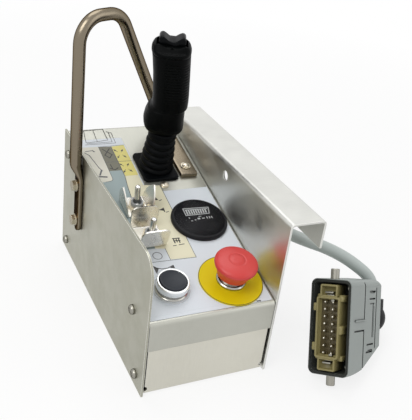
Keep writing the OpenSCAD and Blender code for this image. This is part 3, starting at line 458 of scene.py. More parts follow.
PIN_METAL = brushed("plated_pins", (0.80, 0.77, 0.68), 0.24, (600, 600, 600), depth=0.00001,
                    edge=0.0002)
BLACK = moulded("black_plastic", (0.006, 0.006, 0.007), 0.50, dust=0.010, sheen=0.2)
GRIP_BLACK = moulded("grip_black", (0.0010, 0.0014, 0.0014), 0.42, grain=1200.0, depth=0.00002,
                     dust=0.001, sheen=0.045)
ROCKER_BLACK = moulded("rocker_black", (0.002, 0.0025, 0.003), 0.30, dust=0.002, depth=0.00001,
                       sheen=0.07)
BLACK_GLOSS = moulded("black_gloss", (0.006, 0.007, 0.008), 0.30, dust=0.008, depth=0.00001,
                      sheen=0.3)
METER_BLACK = moulded("meter_black", (0.008, 0.008, 0.010), 0.45, edge=0.0001, dust=0.001,
                      depth=0.0, sheen=0.2)
CAP_BLACK = moulded("cap_black", (0.016, 0.020, 0.028), 0.42, dust=0.008, depth=0.00001, sheen=0.3)
RUBBER = moulded("black_rubber", (0.0015, 0.002, 0.0025), 0.46, grain=600.0, depth=0.00003,
                 dust=0.002, sheen=0.06)
RED = moulded("red_plastic", (0.60, 0.030, 0.026), 0.42, grain=500.0, depth=0.00001, coat=0.12,
              dust=0.03)
YELLOW = moulded("yellow_print", (0.72, 0.565, 0.004), 0.42, grain=700.0, depth=0.00001, dust=0.0,
                 sheen=0.14)
GREEN = moulded("green_plastic", (0.03, 0.16, 0.07), 0.45)
GREY = moulded("grey_plastic", (0.30, 0.31, 0.31), 0.45)
# Grey casting with painted shade in its grooves and narrow gaps
CASTING = moulded("grey_casting", (0.29, 0.32, 0.305), 0.46, grain=1400.0, depth=0.00005,
                  edge=0.0006, dust=0.03, painted_shade_reach=0.004)
CASTING_DARK = moulded("casting_rim", (0.016, 0.018, 0.015), 0.50, grain=900.0, depth=0.00003,
                       dust=0.01, sheen=0.3)
CORD_GREY = moulded("cord_rubber", (0.47, 0.52, 0.50), 0.44, grain=350.0, depth=0.00002, dust=0.03)
KHAKI = moulded("khaki_plastic", (0.24, 0.205, 0.08), 0.42, dust=0.03)
# Painted shade: a darker copy of the khaki plastic for the insert's recessed floor
SHADED_KHAKI = moulded("shaded_khaki_floor", (0.070, 0.053, 0.018), 0.46, dust=0.02)
OVERLAY = moulded("overlay_print", (0.66, 0.70, 0.745), 0.36, grain=1500.0, depth=0.000005,
                  dust=0.02)
DIAL = moulded("dial_print", (0.006, 0.006, 0.008), 0.45, edge=0.0001, dust=0.001, depth=0.0,
               sheen=0.2)


def ink(name, color):
    """Printed colour on the film or the dial."""
    return moulded(name, color, 0.40, 1500.0, 0.000005, dust=0.01)


def glass(name, color=(0.01, 0.01, 0.011), cover=0.05):
    """Thin clear plastic: mostly see-through, with a little of its own colour and gloss."""
    m = Material(name)
    m.set(Base_Color=(*color, 1), Roughness=0.30, Specular_IOR_Level=0.08,
          Alpha=m.noise((60, 60, 60)).between(0.3, 0.7, cover, cover + 0.02))
    return m.mat


GLASS = glass("clear_glass")
WASHER_CLEAR = glass("clear_washer", (0.85, 0.87, 0.88), 0.35)

BY_SLOT = {
    "sheet": SHADED_STEEL, "overlay_print": OVERLAY, "zinc_steel": ZINC, "guard_steel": TUBE_STEEL,
    "black_plastic": BLACK, "black_rubber": RUBBER, "black_gloss": BLACK_GLOSS, "dial_print": DIAL,
    "clear_glass": GLASS, "yellow_print": YELLOW, "chrome_trim": CHROME, "red_plastic": RED,
    "green_plastic": GREEN, "guard_sheet": GUARD_SHEET, "grey_plastic": GREY,
    "cord_rubber": CORD_GREY, "grey_casting": CASTING, "khaki_plastic": KHAKI,
    "plated_pins": PIN_METAL,
}
SLOT_OF = {sub["node"]: sub["material_slot"] for sub in frame["record"]["subparts"]}


def paint(obj, mat):
    """Gives obj the one material."""
    obj.data.materials.clear()
    obj.data.materials.append(mat)


def finish_piece(obj, mat, body, slot, *stands_for):
    """Material and body of a new piece, and the CAD nodes that it is shown for; slot is not used.
    """
    paint(obj, mat)
    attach(obj, body)
    if stands_for:
        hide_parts(*stands_for)
    return obj


OWN_FINISH = {
    "control_panel": STEEL_PANEL, "base_tray": LIT_TRAY_STEEL, "right_side_plate": LIT_HOOK_STEEL,
    "plug_gasket": CASTING_DARK, "plug_pegs": PEG_METAL, "stop_collar": SLEEVE_METAL,
    "rocker_pin": GRIP_BLACK,
}
for name, obj in frame["nodes"].items():
    paint(obj, OWN_FINISH.get(name, BY_SLOT[SLOT_OF[name]]))

# ---------------------------------------------------------------- cord

# Centre line in millimetres, from the box's gland over to the plug's gland
CORD_ROUTE = [
    (66, 12, 62), (84, 12, 62), (95, 8, 65), (104, -3, 74), (111, -18, 83), (117, -38, 90),
    (123, -58, 93), (130, -71, 94), (145, -80, 90), (161, -89, 83), (175, -96, 74), (187, -100, 64),
    (194, -102, 54), (196, -103, 44), (194, -107, 34),
]
CORD_RADIUS = 6.2
cord_path = spline(CORD_ROUTE, 91)
cord = skin("cord_sheath", swept(cord_path, CORD_RADIUS), WORLD)
finish_piece(cord, CORD_GREY, "box", "cord_rubber", "cord")

# ---------------------------------------------------------------- tube guard

# The guard is bent in an upright plane from the leg on the left plate to the foot on the panel.
# RUN is the level direction in it, SIDE is square to it, and FALL is the (level, upright) way of
# the falling part.
TUBE_R, GUARD_H, TOP_RUN, BEND_R = 6.0, 276.0, 50.0, 25.0
FOOT_X, FOOT_S = 45.0, 262.0
LEG_FOOT, LEG_TOP = 54.0, 132.0
FLAT_HALF, FLAT_W = 2.25, 9.0
GUARD_FOOT = PANEL.axes @ np.array([FOOT_X, FOOT_S, TUBE_R]) + PANEL.origin
LEG = np.array([-68.3, 68.0])
RUN = GUARD_FOOT[:2] - LEG
REACH = np.linalg.norm(RUN)
RUN = RUN / REACH
FALL = np.array([REACH - TOP_RUN, GUARD_FOOT[2] - GUARD_H])
FALL = FALL / np.linalg.norm(FALL)
SIDE = np.array([RUN[1], -RUN[0], 0.0])


def tube_ring(centre, along, across, ra, rb, power=2.0, count=48):
    """Superellipse ring round centre, square to along: ra is its half width towards across."""
    t = np.asarray(along, float) / np.linalg.norm(along)
    a = across - t * np.dot(across, t)
    a = a / np.linalg.norm(a)
    x, y = oval(ra, rb, power, count)
    return np.asarray(centre, float) + x[0][:, None] * a + y[0][:, None] * np.cross(t, a)


def bent(points, radius, steps=14):
    """Polyline whose corners are arcs of the radius that run on into its straight parts.

    An arc swings by g about its centre c: c + (sin((1 - u) g) start + sin(u g) end) / sin g.
    """
    out = [points[0]]
    for a, b, c in zip(points, points[1:], points[2:]):
        back, on = (a - b) / np.linalg.norm(a - b), (c - b) / np.linalg.norm(c - b)
        half = math.acos(np.dot(back, on)) / 2
        mid = (back + on) / np.linalg.norm(back + on)
        centre = b + mid * radius / math.sin(half)
        start = b + back * radius / math.tan(half) - centre
        end = b + on * radius / math.tan(half) - centre
        swing = math.pi - 2 * half
        for u in np.linspace(0, 1, steps):
            arm = math.sin((1 - u) * swing) * start + math.sin(u * swing) * end
            out.append(centre + arm / math.sin(swing))
    return out + [points[-1]]


def guard_grid():
    """Rings of the guard: flattened end, upright leg, bends and fall, then the panel's foot."""
    # Height over the leg's end, half width, half thickness and squareness
    leg = [
        (0.3, 3.0, FLAT_HALF, 3), (1.6, 5.4, FLAT_HALF, 3), (4.0, 7.6, FLAT_HALF, 4),
        (9.0, FLAT_W, FLAT_HALF, 5), (60.0, FLAT_W, FLAT_HALF, 5), (63.0, 8.9, 2.5, 4.2),
        (66.0, 8.3, 3.5, 3.2), (69.0, 7.7, 4.4, 2.6), (72.0, 7.2, 5.2, 2.3), (75.0, 6.5, 5.7, 2.1),
    ]
    rings = []
    for h, rx, ry, power in leg:
        lift = 0.3 if ry > 2.3 else 0.0
        centre = (-BOX_SIDE - ry - lift, LEG[1], LEG_FOOT + h)
        rings.append(tube_ring(centre, (0, 0, 1), (0, -1, 0), rx, ry, power))
    corners = [np.array(p, float) for p in ((0, LEG_TOP), (0, GUARD_H), (TOP_RUN, GUARD_H))]
    line = np.array(bent(corners + [np.array([REACH, GUARD_FOOT[2]]) - FALL * 14], BEND_R))
    for q, d in zip(line, np.gradient(line, axis=0)):
        centre, along = (*(LEG + RUN * q[0]), q[1]), (*(RUN * d[0]), d[1])
        rings.append(tube_ring(centre, along, SIDE, TUBE_R, TUBE_R))
    up, on = PANEL.axes[:, 2], -PANEL.axes[:, 1]
    fall = np.array([*(RUN * FALL[0]), FALL[1]])
    # Place up the panel and over it, direction, side, half thickness, half width and squareness
    foot = [
        (262.5, 11.5, fall + 0.35 * on, SIDE + 0.4 * up, 5.2, 6.1, 2.1),
        (260.0, 9.0, fall + on, SIDE + up, 4.6, 6.4, 2.2),
        (256.5, 6.2, fall + 2 * on, SIDE * 0.3 + up, 4.0, 7.0, 2.4),
        (252.0, 3.8, on, up, 3.6, 8.2, 2.8), (248.0, 2.7, on, up, 2.65, 8.9, 5),
        (244.0, FLAT_HALF, on, up, FLAT_HALF, 9.2, 9),
        (180.5, FLAT_HALF, on, up, FLAT_HALF, 9.2, 9),
        (178.2, FLAT_HALF, on, up, 2.2, 9.0, 9), (177.9, FLAT_HALF, on, up, 1.9, 8.6, 9),
    ]
    for s, h, along, across, ra, rb, power in foot:
        centre = PANEL.axes @ np.array([FOOT_X, s, h]) + PANEL.origin
        rings.append(tube_ring(centre, along, across, ra, rb, power))
    return np.stack(rings)


guard_tube = skin("guard_tube", guard_grid(), WORLD)
finish_piece(guard_tube, TUBE_STEEL, "box", "guard_steel", "handle_tube")

# Domed head with a round recess, then the shank, as (radius, height over the plate)
SIDE_SCREW_LINE = [
    (0.05, 3.6), (1.0, 3.6), (1.1, 2.6), (1.5, 2.6), (1.6, 3.5), (3.0, 3.1), (4.1, 2.2), (4.5, 0.9),
    (4.5, 0.0), (1.9, 0.0), (1.9, -5.0), (0.05, -5.0),
]
SIDE_SCREW_SPOTS = [(-98, 70), (-115, 12), (116, 118), (116, 12)]
screw = turned_grid(SIDE_SCREW_LINE[::-1], 32)
screw_grids = []
for side in (-1, 1):
    for y, z in SIDE_SCREW_SPOTS:
        reach = side * (BOX_SIDE + screw[..., 2])
        screw_grids.append(np.stack([reach, y + side * screw[..., 1], z + screw[..., 0]], -1))
screws = skins("side_screw_heads", screw_grids, WORLD)
finish_piece(screws, PEG_METAL, "box", "zinc_steel", "side_screws")

# ---------------------------------------------------------------- joystick

GRIP_RX, GRIP_RY = 18.5, 19.5
CAP_SEAM = 85.0
# Height share, width, depth, shift to the side and shift to the rear of the grip's outline
GRIP_OUTLINE = np.array([
    (0.000, 0.82, 0.74, -5.0, 0.0), (0.025, 0.98, 0.90, -5.3, 0.0), (0.050, 1.05, 0.98, -5.3, 0.2),
    (0.090, 1.08, 1.03, -5.5, 0.4), (0.150, 1.085, 1.05, -5.6, 0.6),
    (0.220, 1.06, 1.035, -4.7, 0.5), (0.270, 1.02, 1.02, -3.8, 0.3), (0.305, 0.99, 1.00, -3.0, 0.2),
    (0.325, 0.965, 0.98, -1.2, 0.0), (0.342, 0.955, 0.965, 0.0, 0.0),
    (0.400, 0.95, 0.95, 0.6, -0.2), (0.500, 0.95, 0.95, 0.9, -0.3), (0.750, 0.955, 0.97, 0.9, 0.0),
    (0.930, 0.975, 0.99, 0.5, 0.0), (1.000, 0.99, 1.00, 0.2, 0.0),
])
# Lean of the outline against the grip's axis, to the right and to the rear, over its whole height
LEAN_X, LEAN_Y = 5.56, 2.25
GRIP_OUTLINE[:, 3] += LEAN_X * (1 - GRIP_OUTLINE[:, 0])
GRIP_OUTLINE[:, 4] += LEAN_Y * (1 - GRIP_OUTLINE[:, 0])
# Height, width, depth and squareness of the cap's outline
CAP_OUTLINE = np.array([
    (85.5, 1.000, 1.010, 2.5), (86.5, 1.010, 1.020, 2.5), (88.5, 1.005, 1.000, 2.5),
    (90.3, 0.968, 0.950, 2.6), (91.8, 0.925, 0.880, 2.7), (93.0, 0.850, 0.790, 2.8),
    (93.7, 0.780, 0.700, 3.0), (94.0, 0.700, 0.620, 3.2), (94.0, 0.350, 0.300, 3.2),
    (94.0, 0.030, 0.030, 3.2),
])
OVAL_POWER = 2.5
# Finger ribs: pitch and depth, the heights over which they fade in and out, and the turn from the
# grip's right to their middle
RIB_PITCH, RIB_DEPTH = 2.9, 0.62
RIB_START, RIB_END, RIB_TURN = (39, 42), (77, 80), math.radians(-38)
# Height, depth and half width of the seam under the cap and of the step over the bulge
CAP_JOINT = (CAP_SEAM - 0.6, 0.45, 0.5)
BULGE_STEP = (0.32 * CAP_SEAM, 0.35, 0.6)
CAP_DROP = 4.5


def groove_depth(z, height, depth, width):
    """Groove round a grip: depth exp(-((z - height) / width)^2)."""
    return depth * np.exp(-((z - height) / width) ** 2)[:, None]


def grip_grid():
    """Grip: ovals (rx w(u) cos a, ry d(u) sin a) shifted by s(u), less ribs and grooves, and cap.

    A rib is RIB_DEPTH (1 - |sin(pi z / pitch)|)^1.3 deep at the fingers, and the cap's rim drops
    towards its front.
    """
    z = np.concatenate([[0, 0.3, 0.9], np.linspace(1.8, CAP_SEAM, 210)])
    share, wide, deep, side, rear = GRIP_OUTLINE.T
    u = z / CAP_SEAM
    under = 1 - 0.14 * np.clip(1 - z / 1.5, 0, 1) ** 2
    rx = GRIP_RX * np.interp(u, share, wide) * under
    ry = GRIP_RY * np.interp(u, share, deep) * under
    x, y = oval(rx, ry, OVAL_POWER)
    fingers = smooth_step(np.cos(np.arctan2(y, x) - RIB_TURN), 0.25, 0.60)
    band = (smooth_step(z, *RIB_START) * (1 - smooth_step(z, *RIB_END)))[:, None]
    wave = RIB_DEPTH * (1 - abs(np.sin(np.pi * z / RIB_PITCH)))[:, None] ** 1.3
    grooves = groove_depth(z, *CAP_JOINT) + groove_depth(z, *BULGE_STEP)
    keep = 1 - (wave * band * fingers + grooves) / np.hypot(x, y)
    body = np.stack([x * keep + np.interp(u, share, side)[:, None],
                     y * keep + np.interp(u, share, rear)[:, None], z[:, None] + 0 * x], -1)
    h, w, d, power = CAP_OUTLINE.T
    cx, cy = oval(GRIP_RX * w, GRIP_RY * d, power)
    drop = CAP_DROP * smooth_step(-cy, 8.0, 16) * smooth_step(h, 88, 94)[:, None]
    cap = np.stack([cx, cy, h[:, None] - drop], -1)
    return np.concatenate([body, cap])


def merged_copy(node, name):
    """A piece with the shape of a CAD node, its loose triangles joined at their corners."""
    solid = bmesh.new()
    solid.from_mesh(node.data)
    bmesh.ops.remove_doubles(solid, verts=solid.verts, dist=1e-6)
    mesh = bpy.data.meshes.new(name)
    solid.to_mesh(mesh)
    solid.free()
    obj = bpy.data.objects.new(name, mesh)
    bpy.context.collection.objects.link(obj)
    return obj


def cut_box(obj, low, high, place):
    """Cuts the box low..high of a frame out of obj, and keeps the result as its mesh."""
    x, y, z = (np.array(v, float) for v in zip(low, high))
    corners = np.stack(np.meshgrid(x, y, z, indexing="ij"), -1).reshape(-1, 3)
    sides = [(0, 1, 3, 2), (4, 6, 7, 5), (0, 4, 5, 1), (2, 3, 7, 6), (0, 2, 6, 4), (1, 5, 7, 3)]
    tool = add_mesh("cutter", place(corners), sides, False)
    mod = obj.modifiers.new("cut", "BOOLEAN")
    mod.operation, mod.solver, mod.object = "DIFFERENCE", "EXACT", tool
    graph = bpy.context.evaluated_depsgraph_get()
    mesh = bpy.data.meshes.new_from_object(obj.evaluated_get(graph))
    obj.modifiers.clear()
    obj.data = mesh
    bpy.data.objects.remove(tool)


ROCKER_POCKET = ((-14.5, -7.6, 86), (14.5, 7.6, 100))
TRIGGER_SLOT = ((-6.5, 6.5, 26), (6.5, 40, 80))
grip = skin("grip_shell", grip_grid(), GRIP)
cut_box(grip, *ROCKER_POCKET, GRIP)
cut_box(grip, *TRIGGER_SLOT, GRIP)
finish_piece(grip, GRIP_BLACK, "stick", "black_plastic", "grip_body", "grip_cap")

# Side view of the rocker: a shallow V whose wings end in rounded lips
ROCKER_LINE = [
    (-12.0, 0.5), (-12.5, 6.0), (-11.6, 8.4), (-9.4, 9.5), (-7.4, 8.6), (-3.0, 5.4), (0, 4.6),
    (3.0, 5.4), (7.4, 8.6), (9.4, 9.5), (11.6, 8.4), (12.5, 6.0), (12.0, 0.5), (5, -2), (-5, -2),
]
# Place from front to rear, and scale there
ROCKER_DEPTHS = [
    (-7, 0.88), (-6.7, 0.95), (-6.0, 1.0), (-2, 1.0), (2, 1.0), (6.0, 1.0), (6.7, 0.95), (7, 0.88),
]
ROCKER_AXLE = 91.5


def rocker_grid():
    """Rocker: its side view carried from front to rear, scaled about its middle at each depth."""
    line = eased(ROCKER_LINE + ROCKER_LINE[:1], 1.1, 4)[:-1]
    middle = np.array([0, 3.0])
    rows = [np.column_stack([q[:, 0], np.full(len(q), float(y)), q[:, 1] + ROCKER_AXLE])
            for y, f in ROCKER_DEPTHS for q in [middle + (line - middle) * f]]
    return np.stack(rows)


rocker = skin("rocker_shell", rocker_grid(), GRIP)
finish_piece(rocker, ROCKER_BLACK, "rocker", "black_gloss", "thumb_rocker")

BOOT_TOP, BOOT_FOLDS, BOOT_R, BOOT_TAPER, FOLD_DEPTH = 49.5, 5, 17.9, 3.6, 2.4
FOLDS_LOW, FOLDS_H = 4.2, 38.5
FLANGE_H = 3.0
BOOT = PANEL.at(STICK_X, STICK_S, 0)


def boot_grid():
    """Bellows: radius BOOT_R - BOOT_TAPER u - FOLD_DEPTH (1 - |cos(n pi u)|^0.7) for n folds.

    The share u goes from 0 over the flange to 1 under the neck.
    """
    u = np.linspace(0, 1, 151)
    crest = abs(np.cos(np.pi * BOOT_FOLDS * u)) ** 0.7
    radius = BOOT_R - BOOT_TAPER * u - FOLD_DEPTH * (1 - crest)
    folds = np.column_stack([radius, FOLDS_LOW + FOLDS_H * u])
    foot = [(16.8, 0.0), (16.8, FLANGE_H), (BOOT_R, 3.3)]
    neck = [(14.4, 43.6), (14.5, BOOT_TOP - 2.3), (14.2, BOOT_TOP - 0.9), (13.0, BOOT_TOP),
            (6.0, BOOT_TOP), (5.3, BOOT_TOP)]
    return turned_grid(np.concatenate([foot, folds, neck]), 112)


boot = skin("boot_bellows", boot_grid(), BOOT)
paint(boot, RUBBER)
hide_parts("rubber_boot")
foot_end, neck_end = BOOT(np.array([(0, 0, FLANGE_H), (0, 0, BOOT_TOP - 2)]))
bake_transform(boot)

FLANGE_LAYERS = [(0.0, 0.0), (0.0, 1.9), (0.35, 2.6), (1.0, 3.0), (2.4, 3.05), (5.5, 2.9)]
flange = skin("boot_base", plate_grid(38, 46, 5, FLANGE_LAYERS, 12), BOOT)
finish_piece(flange, RUBBER, "box", "black_plastic", "boot_flange")

# ---------------------------------------------------------------- buttons

# Profiles of turned pieces are (radius, height over the panel)
STOP_X, STOP_S, PUSH_X, PUSH_S = 29, 33, -28.5, 34
STOP = PANEL.at(STOP_X, STOP_S, 0)
PUSH = PANEL.at(PUSH_X, PUSH_S, 0)
STOP_TOP = 28.5
RING_GROOVE = [(7.25, STOP_TOP - 0.33), (7.1, STOP_TOP - 0.45), (6.95, STOP_TOP - 0.30)]
STOP_LINE = [
    (4.55, STOP_TOP - 12), (11.3, STOP_TOP - 12), (11.3, STOP_TOP - 19.4), (14.6, STOP_TOP - 19.4),
    (15.7, STOP_TOP - 15), (17.3, STOP_TOP - 11.5), (19.2, STOP_TOP - 8.2), (20.0, STOP_TOP - 6.2),
    (19.6, STOP_TOP - 4.0), (17.2, STOP_TOP - 2.3), (13.0, STOP_TOP - 1.1), (9.0, STOP_TOP - 0.5),
]
CROWN = [(3.0, STOP_TOP - 0.05), (0.05, STOP_TOP)]
STOP_BORE = [(4.55, STOP_TOP - 6.0)]
stop_profile = np.concatenate([STOP_BORE, eased(STOP_LINE, 1.6, 6), RING_GROOVE, CROWN])
mushroom = skin("stop_mushroom", turned_grid(stop_profile, 128), STOP)
finish_piece(mushroom, RED, "stop_knob", "red_plastic", "stop_head")

PUSH_TOP = 12.0
CAP_LINE = [
    (4.0, -19), (4.0, PUSH_TOP - 3.5), (12.0, PUSH_TOP - 3.5), (12.0, PUSH_TOP + 0.5),
    (11.0, PUSH_TOP + 0.8), (9.0, PUSH_TOP + 0.2), (5.0, PUSH_TOP - 0.4), (0.05, PUSH_TOP - 0.6),
]
push_button = skin("push_button", turned_grid(eased(CAP_LINE, 0.8, 5), 96), PUSH)
finish_piece(push_button, CAP_BLACK, "push", "black_gloss", "push_cap")
RING_LINE = [
    (4.05, 4.6), (13.6, 4.6), (14.6, 5.6), (14.6, PUSH_TOP - 0.9), (13.9, PUSH_TOP),
    (12.9, PUSH_TOP), (12.35, PUSH_TOP - 0.7), (12.35, PUSH_TOP - 7.0), (4.05, PUSH_TOP - 7.0),
]
push_ring = skin("push_ring", turned_grid(eased(RING_LINE, 0.5, 5), 96), PUSH)
finish_piece(push_ring, RING_METAL, "box", "chrome_trim", "push_bezel")
SLEEVE_LINE = [
    (4.05, -18.0), (11.0, -18.0), (11.0, 0.4), (14.75, 0.4), (14.75, 1.2), (13.4, 1.8), (13.4, 4.7),
    (4.05, 4.7),
]
push_sleeve = skin("push_sleeve", turned_grid(eased(SLEEVE_LINE, 0.4, 4), 96), PUSH)
finish_piece(push_sleeve, SLEEVE_METAL, "box", "chrome_trim", "push_bezel")
WASHER_LINE = [(12.0, 0.42), (17.0, 0.42), (17.0, 0.9), (16.0, 1.3), (12.0, 1.3)]
washer = skin("push_washer", turned_grid(eased(WASHER_LINE, 0.3), 96), PUSH)
finish_piece(washer, WASHER_CLEAR, "box", "clear_glass")

# ---------------------------------------------------------------- meter

METER = PANEL.at(29.5, 112, 0)
METER_TOP, DIAL_TOP = 5.0, 4.7
METER_FLOOR = METER_TOP - 2.4
METER_LINE = [
    (0.05, -44), (24.5, -44), (25.5, -43), (25.5, 0.4), (28.0, 0.4), (28.0, METER_TOP - 1.8),
    (27.0, METER_TOP - 0.3), (26.0, METER_TOP), (25.05, METER_TOP), (25.05, METER_FLOOR),
    (0.05, METER_FLOOR),
]
meter = skin("meter_body", turned_grid(eased(METER_LINE, 0.6, 6), 128), METER)
finish_piece(meter, METER_BLACK, "box", "black_plastic", "meter_case")
DIAL_LINE = [(0.05, METER_FLOOR), (24.9, METER_FLOOR), (24.9, DIAL_TOP), (0.05, DIAL_TOP)]
dial = skin("meter_face", turned_grid(DIAL_LINE), METER)
finish_piece(dial, DIAL, "box", "dial_print", "meter_dial")
LENS_LINE = [
    (0.05, DIAL_TOP + 0.12), (25.0, DIAL_TOP + 0.12), (25.0, METER_TOP - 0.15),
    (24.8, METER_TOP - 0.02), (0.05, METER_TOP - 0.02),
]
lens = skin("meter_glass", turned_grid(LENS_LINE), METER)
finish_piece(lens, GLASS, "box", "clear_glass", "meter_lens")

# ---------------------------------------------------------------- toggle guards

EAR_T, EAR_LEAN, EAR_W = 1.5, 8.0, 27.0
EAR_EDGE, EAR_BEND = 0.2, 2.2
TOGGLE_X, TOGGLE_S = -25.5, (141, 99)
FILM = 0.4


def pointed_half(w, h):
    """Half width at height v under two arcs that meet at the height h."""
    reach = (w * w / 4 + h * h) / w
    return lambda v: max(w / 2 - reach + math.sqrt(max(reach * reach - v * v, 0.0)), 0.35)


def rounded_half(w, h):
    """Half width at height v with corners of a quarter of the height."""
    r = h / 4
    return lambda v: w / 2 - r + math.sqrt(max(r * r - max(v - (h - r), 0.0) ** 2, 0.0))


def folded_grid(h, gap, half):
    """Strip bent up at both ends: rings across it, half(z) wide each way, along its middle line."""
    x, out = gap / 2 + EAR_T / 2, math.tan(math.radians(EAR_LEAN)) * h
    corners = [(-x - out, h), (-x, EAR_T / 2), (x, EAR_T / 2), (x + out, h)]
    line = bent([np.array(corner, float) for corner in corners], EAR_BEND, 7)
    rise = np.sin(np.linspace(math.pi / 2, 0, 26))[:-1, None]
    ear = line[1] + (line[0] - line[1]) * rise
    line = np.concatenate([ear, line[1:-1], ear[::-1] * (-1, 1)])
    along = np.gradient(line, axis=0)
    along /= np.linalg.norm(along, axis=1)[:, None]
    rings = []
    for (px, pz), (tx, tz) in zip(line, along):
        b, e, t = half(pz), EAR_EDGE, EAR_T / 2
        y = np.array([b, b, b - e, e - b, -b, -b, e - b, b - e])
        n = np.array([e - t, t - e, t, t, t - e, e - t, -t, -t])
        rings.append(np.column_stack([px - tz * n, y, pz + tx * n]))
    return np.stack(rings)


EARS1_H, EARS1_GAP, EARS2_H, EARS2_GAP = 27.0, 22.0, 24.0, 25.0
EARS1 = PANEL.at(TOGGLE_X - 1, TOGGLE_S[0], FILM)
EARS2 = PANEL.at(TOGGLE_X - 2.5, TOGGLE_S[1], FILM, turned("z", 90))
pointed = folded_grid(EARS1_H, EARS1_GAP, pointed_half(EAR_W, EARS1_H))
ears1 = skin("toggle1_ears", pointed, EARS1, False)
finish_piece(ears1, GUARD_SHEET, "box", "guard_sheet", "toggle1_guard")
rounded = folded_grid(EARS2_H, EARS2_GAP, rounded_half(EAR_W, EARS2_H))
ears2 = skin("toggle2_ears", rounded, EARS2, False)
finish_piece(ears2, GUARD_SHEET, "box", "guard_sheet", "toggle2_guard")

# ---------------------------------------------------------------- plug

HOOD_W, HOOD_L, HOOD_WALL, HOOD_DEPTH, MOUTH = 40.0, 88.0, 2.5, 72.0, 14.0


def cup_grid(w, l, r, near, far, wall):
    """Cup lining a mouth: inner rings, a rim at depth near, then outer rings, with two floors."""
    layers = [(wall, far - wall), (wall, near), (0.0, near), (0.0, far)]
    return into_plug(plate_grid(w, l, r, layers))


# Start and length into the hood, as shares of its depth, then start and length along it, as shares
# of its own length
HOOD_GROOVES = [
    (0.435, 0.026, 0.07, 0.45), (0.435, 0.026, -0.52, 0.498), (0.14, 0.318, 0.07, 0.016),
    (0.14, 0.318, -0.038, 0.016), (0.825, 0.026, -0.24, 0.66), (0.72, 0.024, -0.12, 0.36),
    (0.60, 0.20, 0.37, 0.018), (0.60, 0.20, 0.29, 0.018), (0.56, 0.22, -0.20, 0.018),
    (0.54, 0.22, -0.28, 0.018),
]
GROOVE_X = (18.3, 21.0)
hood = merged_copy(frame["nodes"]["plug_hood"], "hood_shell")
for y, deep, z, tall in HOOD_GROOVES:
    for left, right in ((-GROOVE_X[1], -GROOVE_X[0]), GROOVE_X):
        cut_box(hood, (left, y * HOOD_DEPTH, z * HOOD_L),
                (right, (y + deep) * HOOD_DEPTH, (z + tall) * HOOD_L), PLUG)
finish_piece(hood, CASTING, "box", "grey_casting", "plug_hood")


def frame_grid(w, l, r, wall, near, far, floor):
    """Open box: the outside from far to near, a rounded rim, then the inside down to its floor."""
    layers = [(0.0, far), (0.0, near + 0.5), (0.15, near + 0.15), (0.5, near), (wall - 0.5, near),
              (wall - 0.15, near + 0.15), (wall, near + 0.5), (wall, floor)]
    return into_plug(plate_grid(w, l, r, layers))


def block_grid(w, l, near, far, r=0.8, ease=0.3):
    """Solid block with an eased front edge."""
    layers = [(0.0, far), (0.0, near + ease), (ease * 0.3, near + ease * 0.3), (ease, near)]
    return into_plug(plate_grid(w, l, r, layers, 4))


def moved(grid, x=0.0, z=0.0):
    """Grid shifted across the mouth and along the rows of pins."""
    return grid + np.array([x, 0.0, z])


def along_plug(profile, start, columns):
    """Turned piece whose axis points out of the mouth from the depth start."""
    grid = turned_grid(profile, columns)
    return np.stack([grid[..., 0], start - grid[..., 2], grid[..., 1]], -1)


LINER_W, LINER_L = HOOD_W - 2 * HOOD_WALL - 0.1, HOOD_L - 2 * HOOD_WALL - 1.1
# Painted shade: a near black sheet on the casting's walls inside the mouth, where shade falls
shade_liner = skin("mouth_shade_liner", cup_grid(LINER_W, LINER_L, 3.4, 0.4, MOUTH - 0.1, 0.4), PLUG)
finish_piece(shade_liner, CASTING_DARK, "box", "grey_casting")

# Depths are below the mouth's edge: the insert's RIM stands out of it, and its pieces reach down
# to SEAT
INSERT_W, INSERT_L, END_W, END_L, END_Z = 23.0, 56.0, 17.0, 11.5, 33.3
RIM, SEAT = -6.0, 13.4
LUG_X, KEY_X = -INSERT_W / 2 - 1.2, INSERT_W / 2 + 0.6
insert_parts = [frame_grid(INSERT_W, INSERT_L, 2.5, 1.9, RIM, 36.0, 2.2)]
for sign in (-1, 1):
    end_frame = frame_grid(END_W, END_L, 1.6, 1.7, RIM + 0.6, SEAT, 1.0)
    lug = block_grid(3.4, 7.0, RIM + 0.5, SEAT)
    cross_bar = block_grid(INSERT_W + 4, 5.0, RIM + 6.0, SEAT, 1.4, 0.9)
    insert_parts += [moved(end_frame, z=sign * END_Z), moved(lug, x=LUG_X, z=sign * 18.0),
                     moved(cross_bar, z=sign * 27.4)]
insert_parts.append(moved(block_grid(4.0, 8.0, RIM + 0.2, SEAT, 1.6, 1.1), x=KEY_X, z=-1.5))
insert_parts.append(moved(block_grid(4.4, 5.4, RIM + 1.4, SEAT, 1.9, 1.1), x=KEY_X, z=26.6))
insert = skins("insert_frame", insert_parts, PLUG)
finish_piece(insert, KHAKI, "box", "khaki_plastic", "plug_insert")

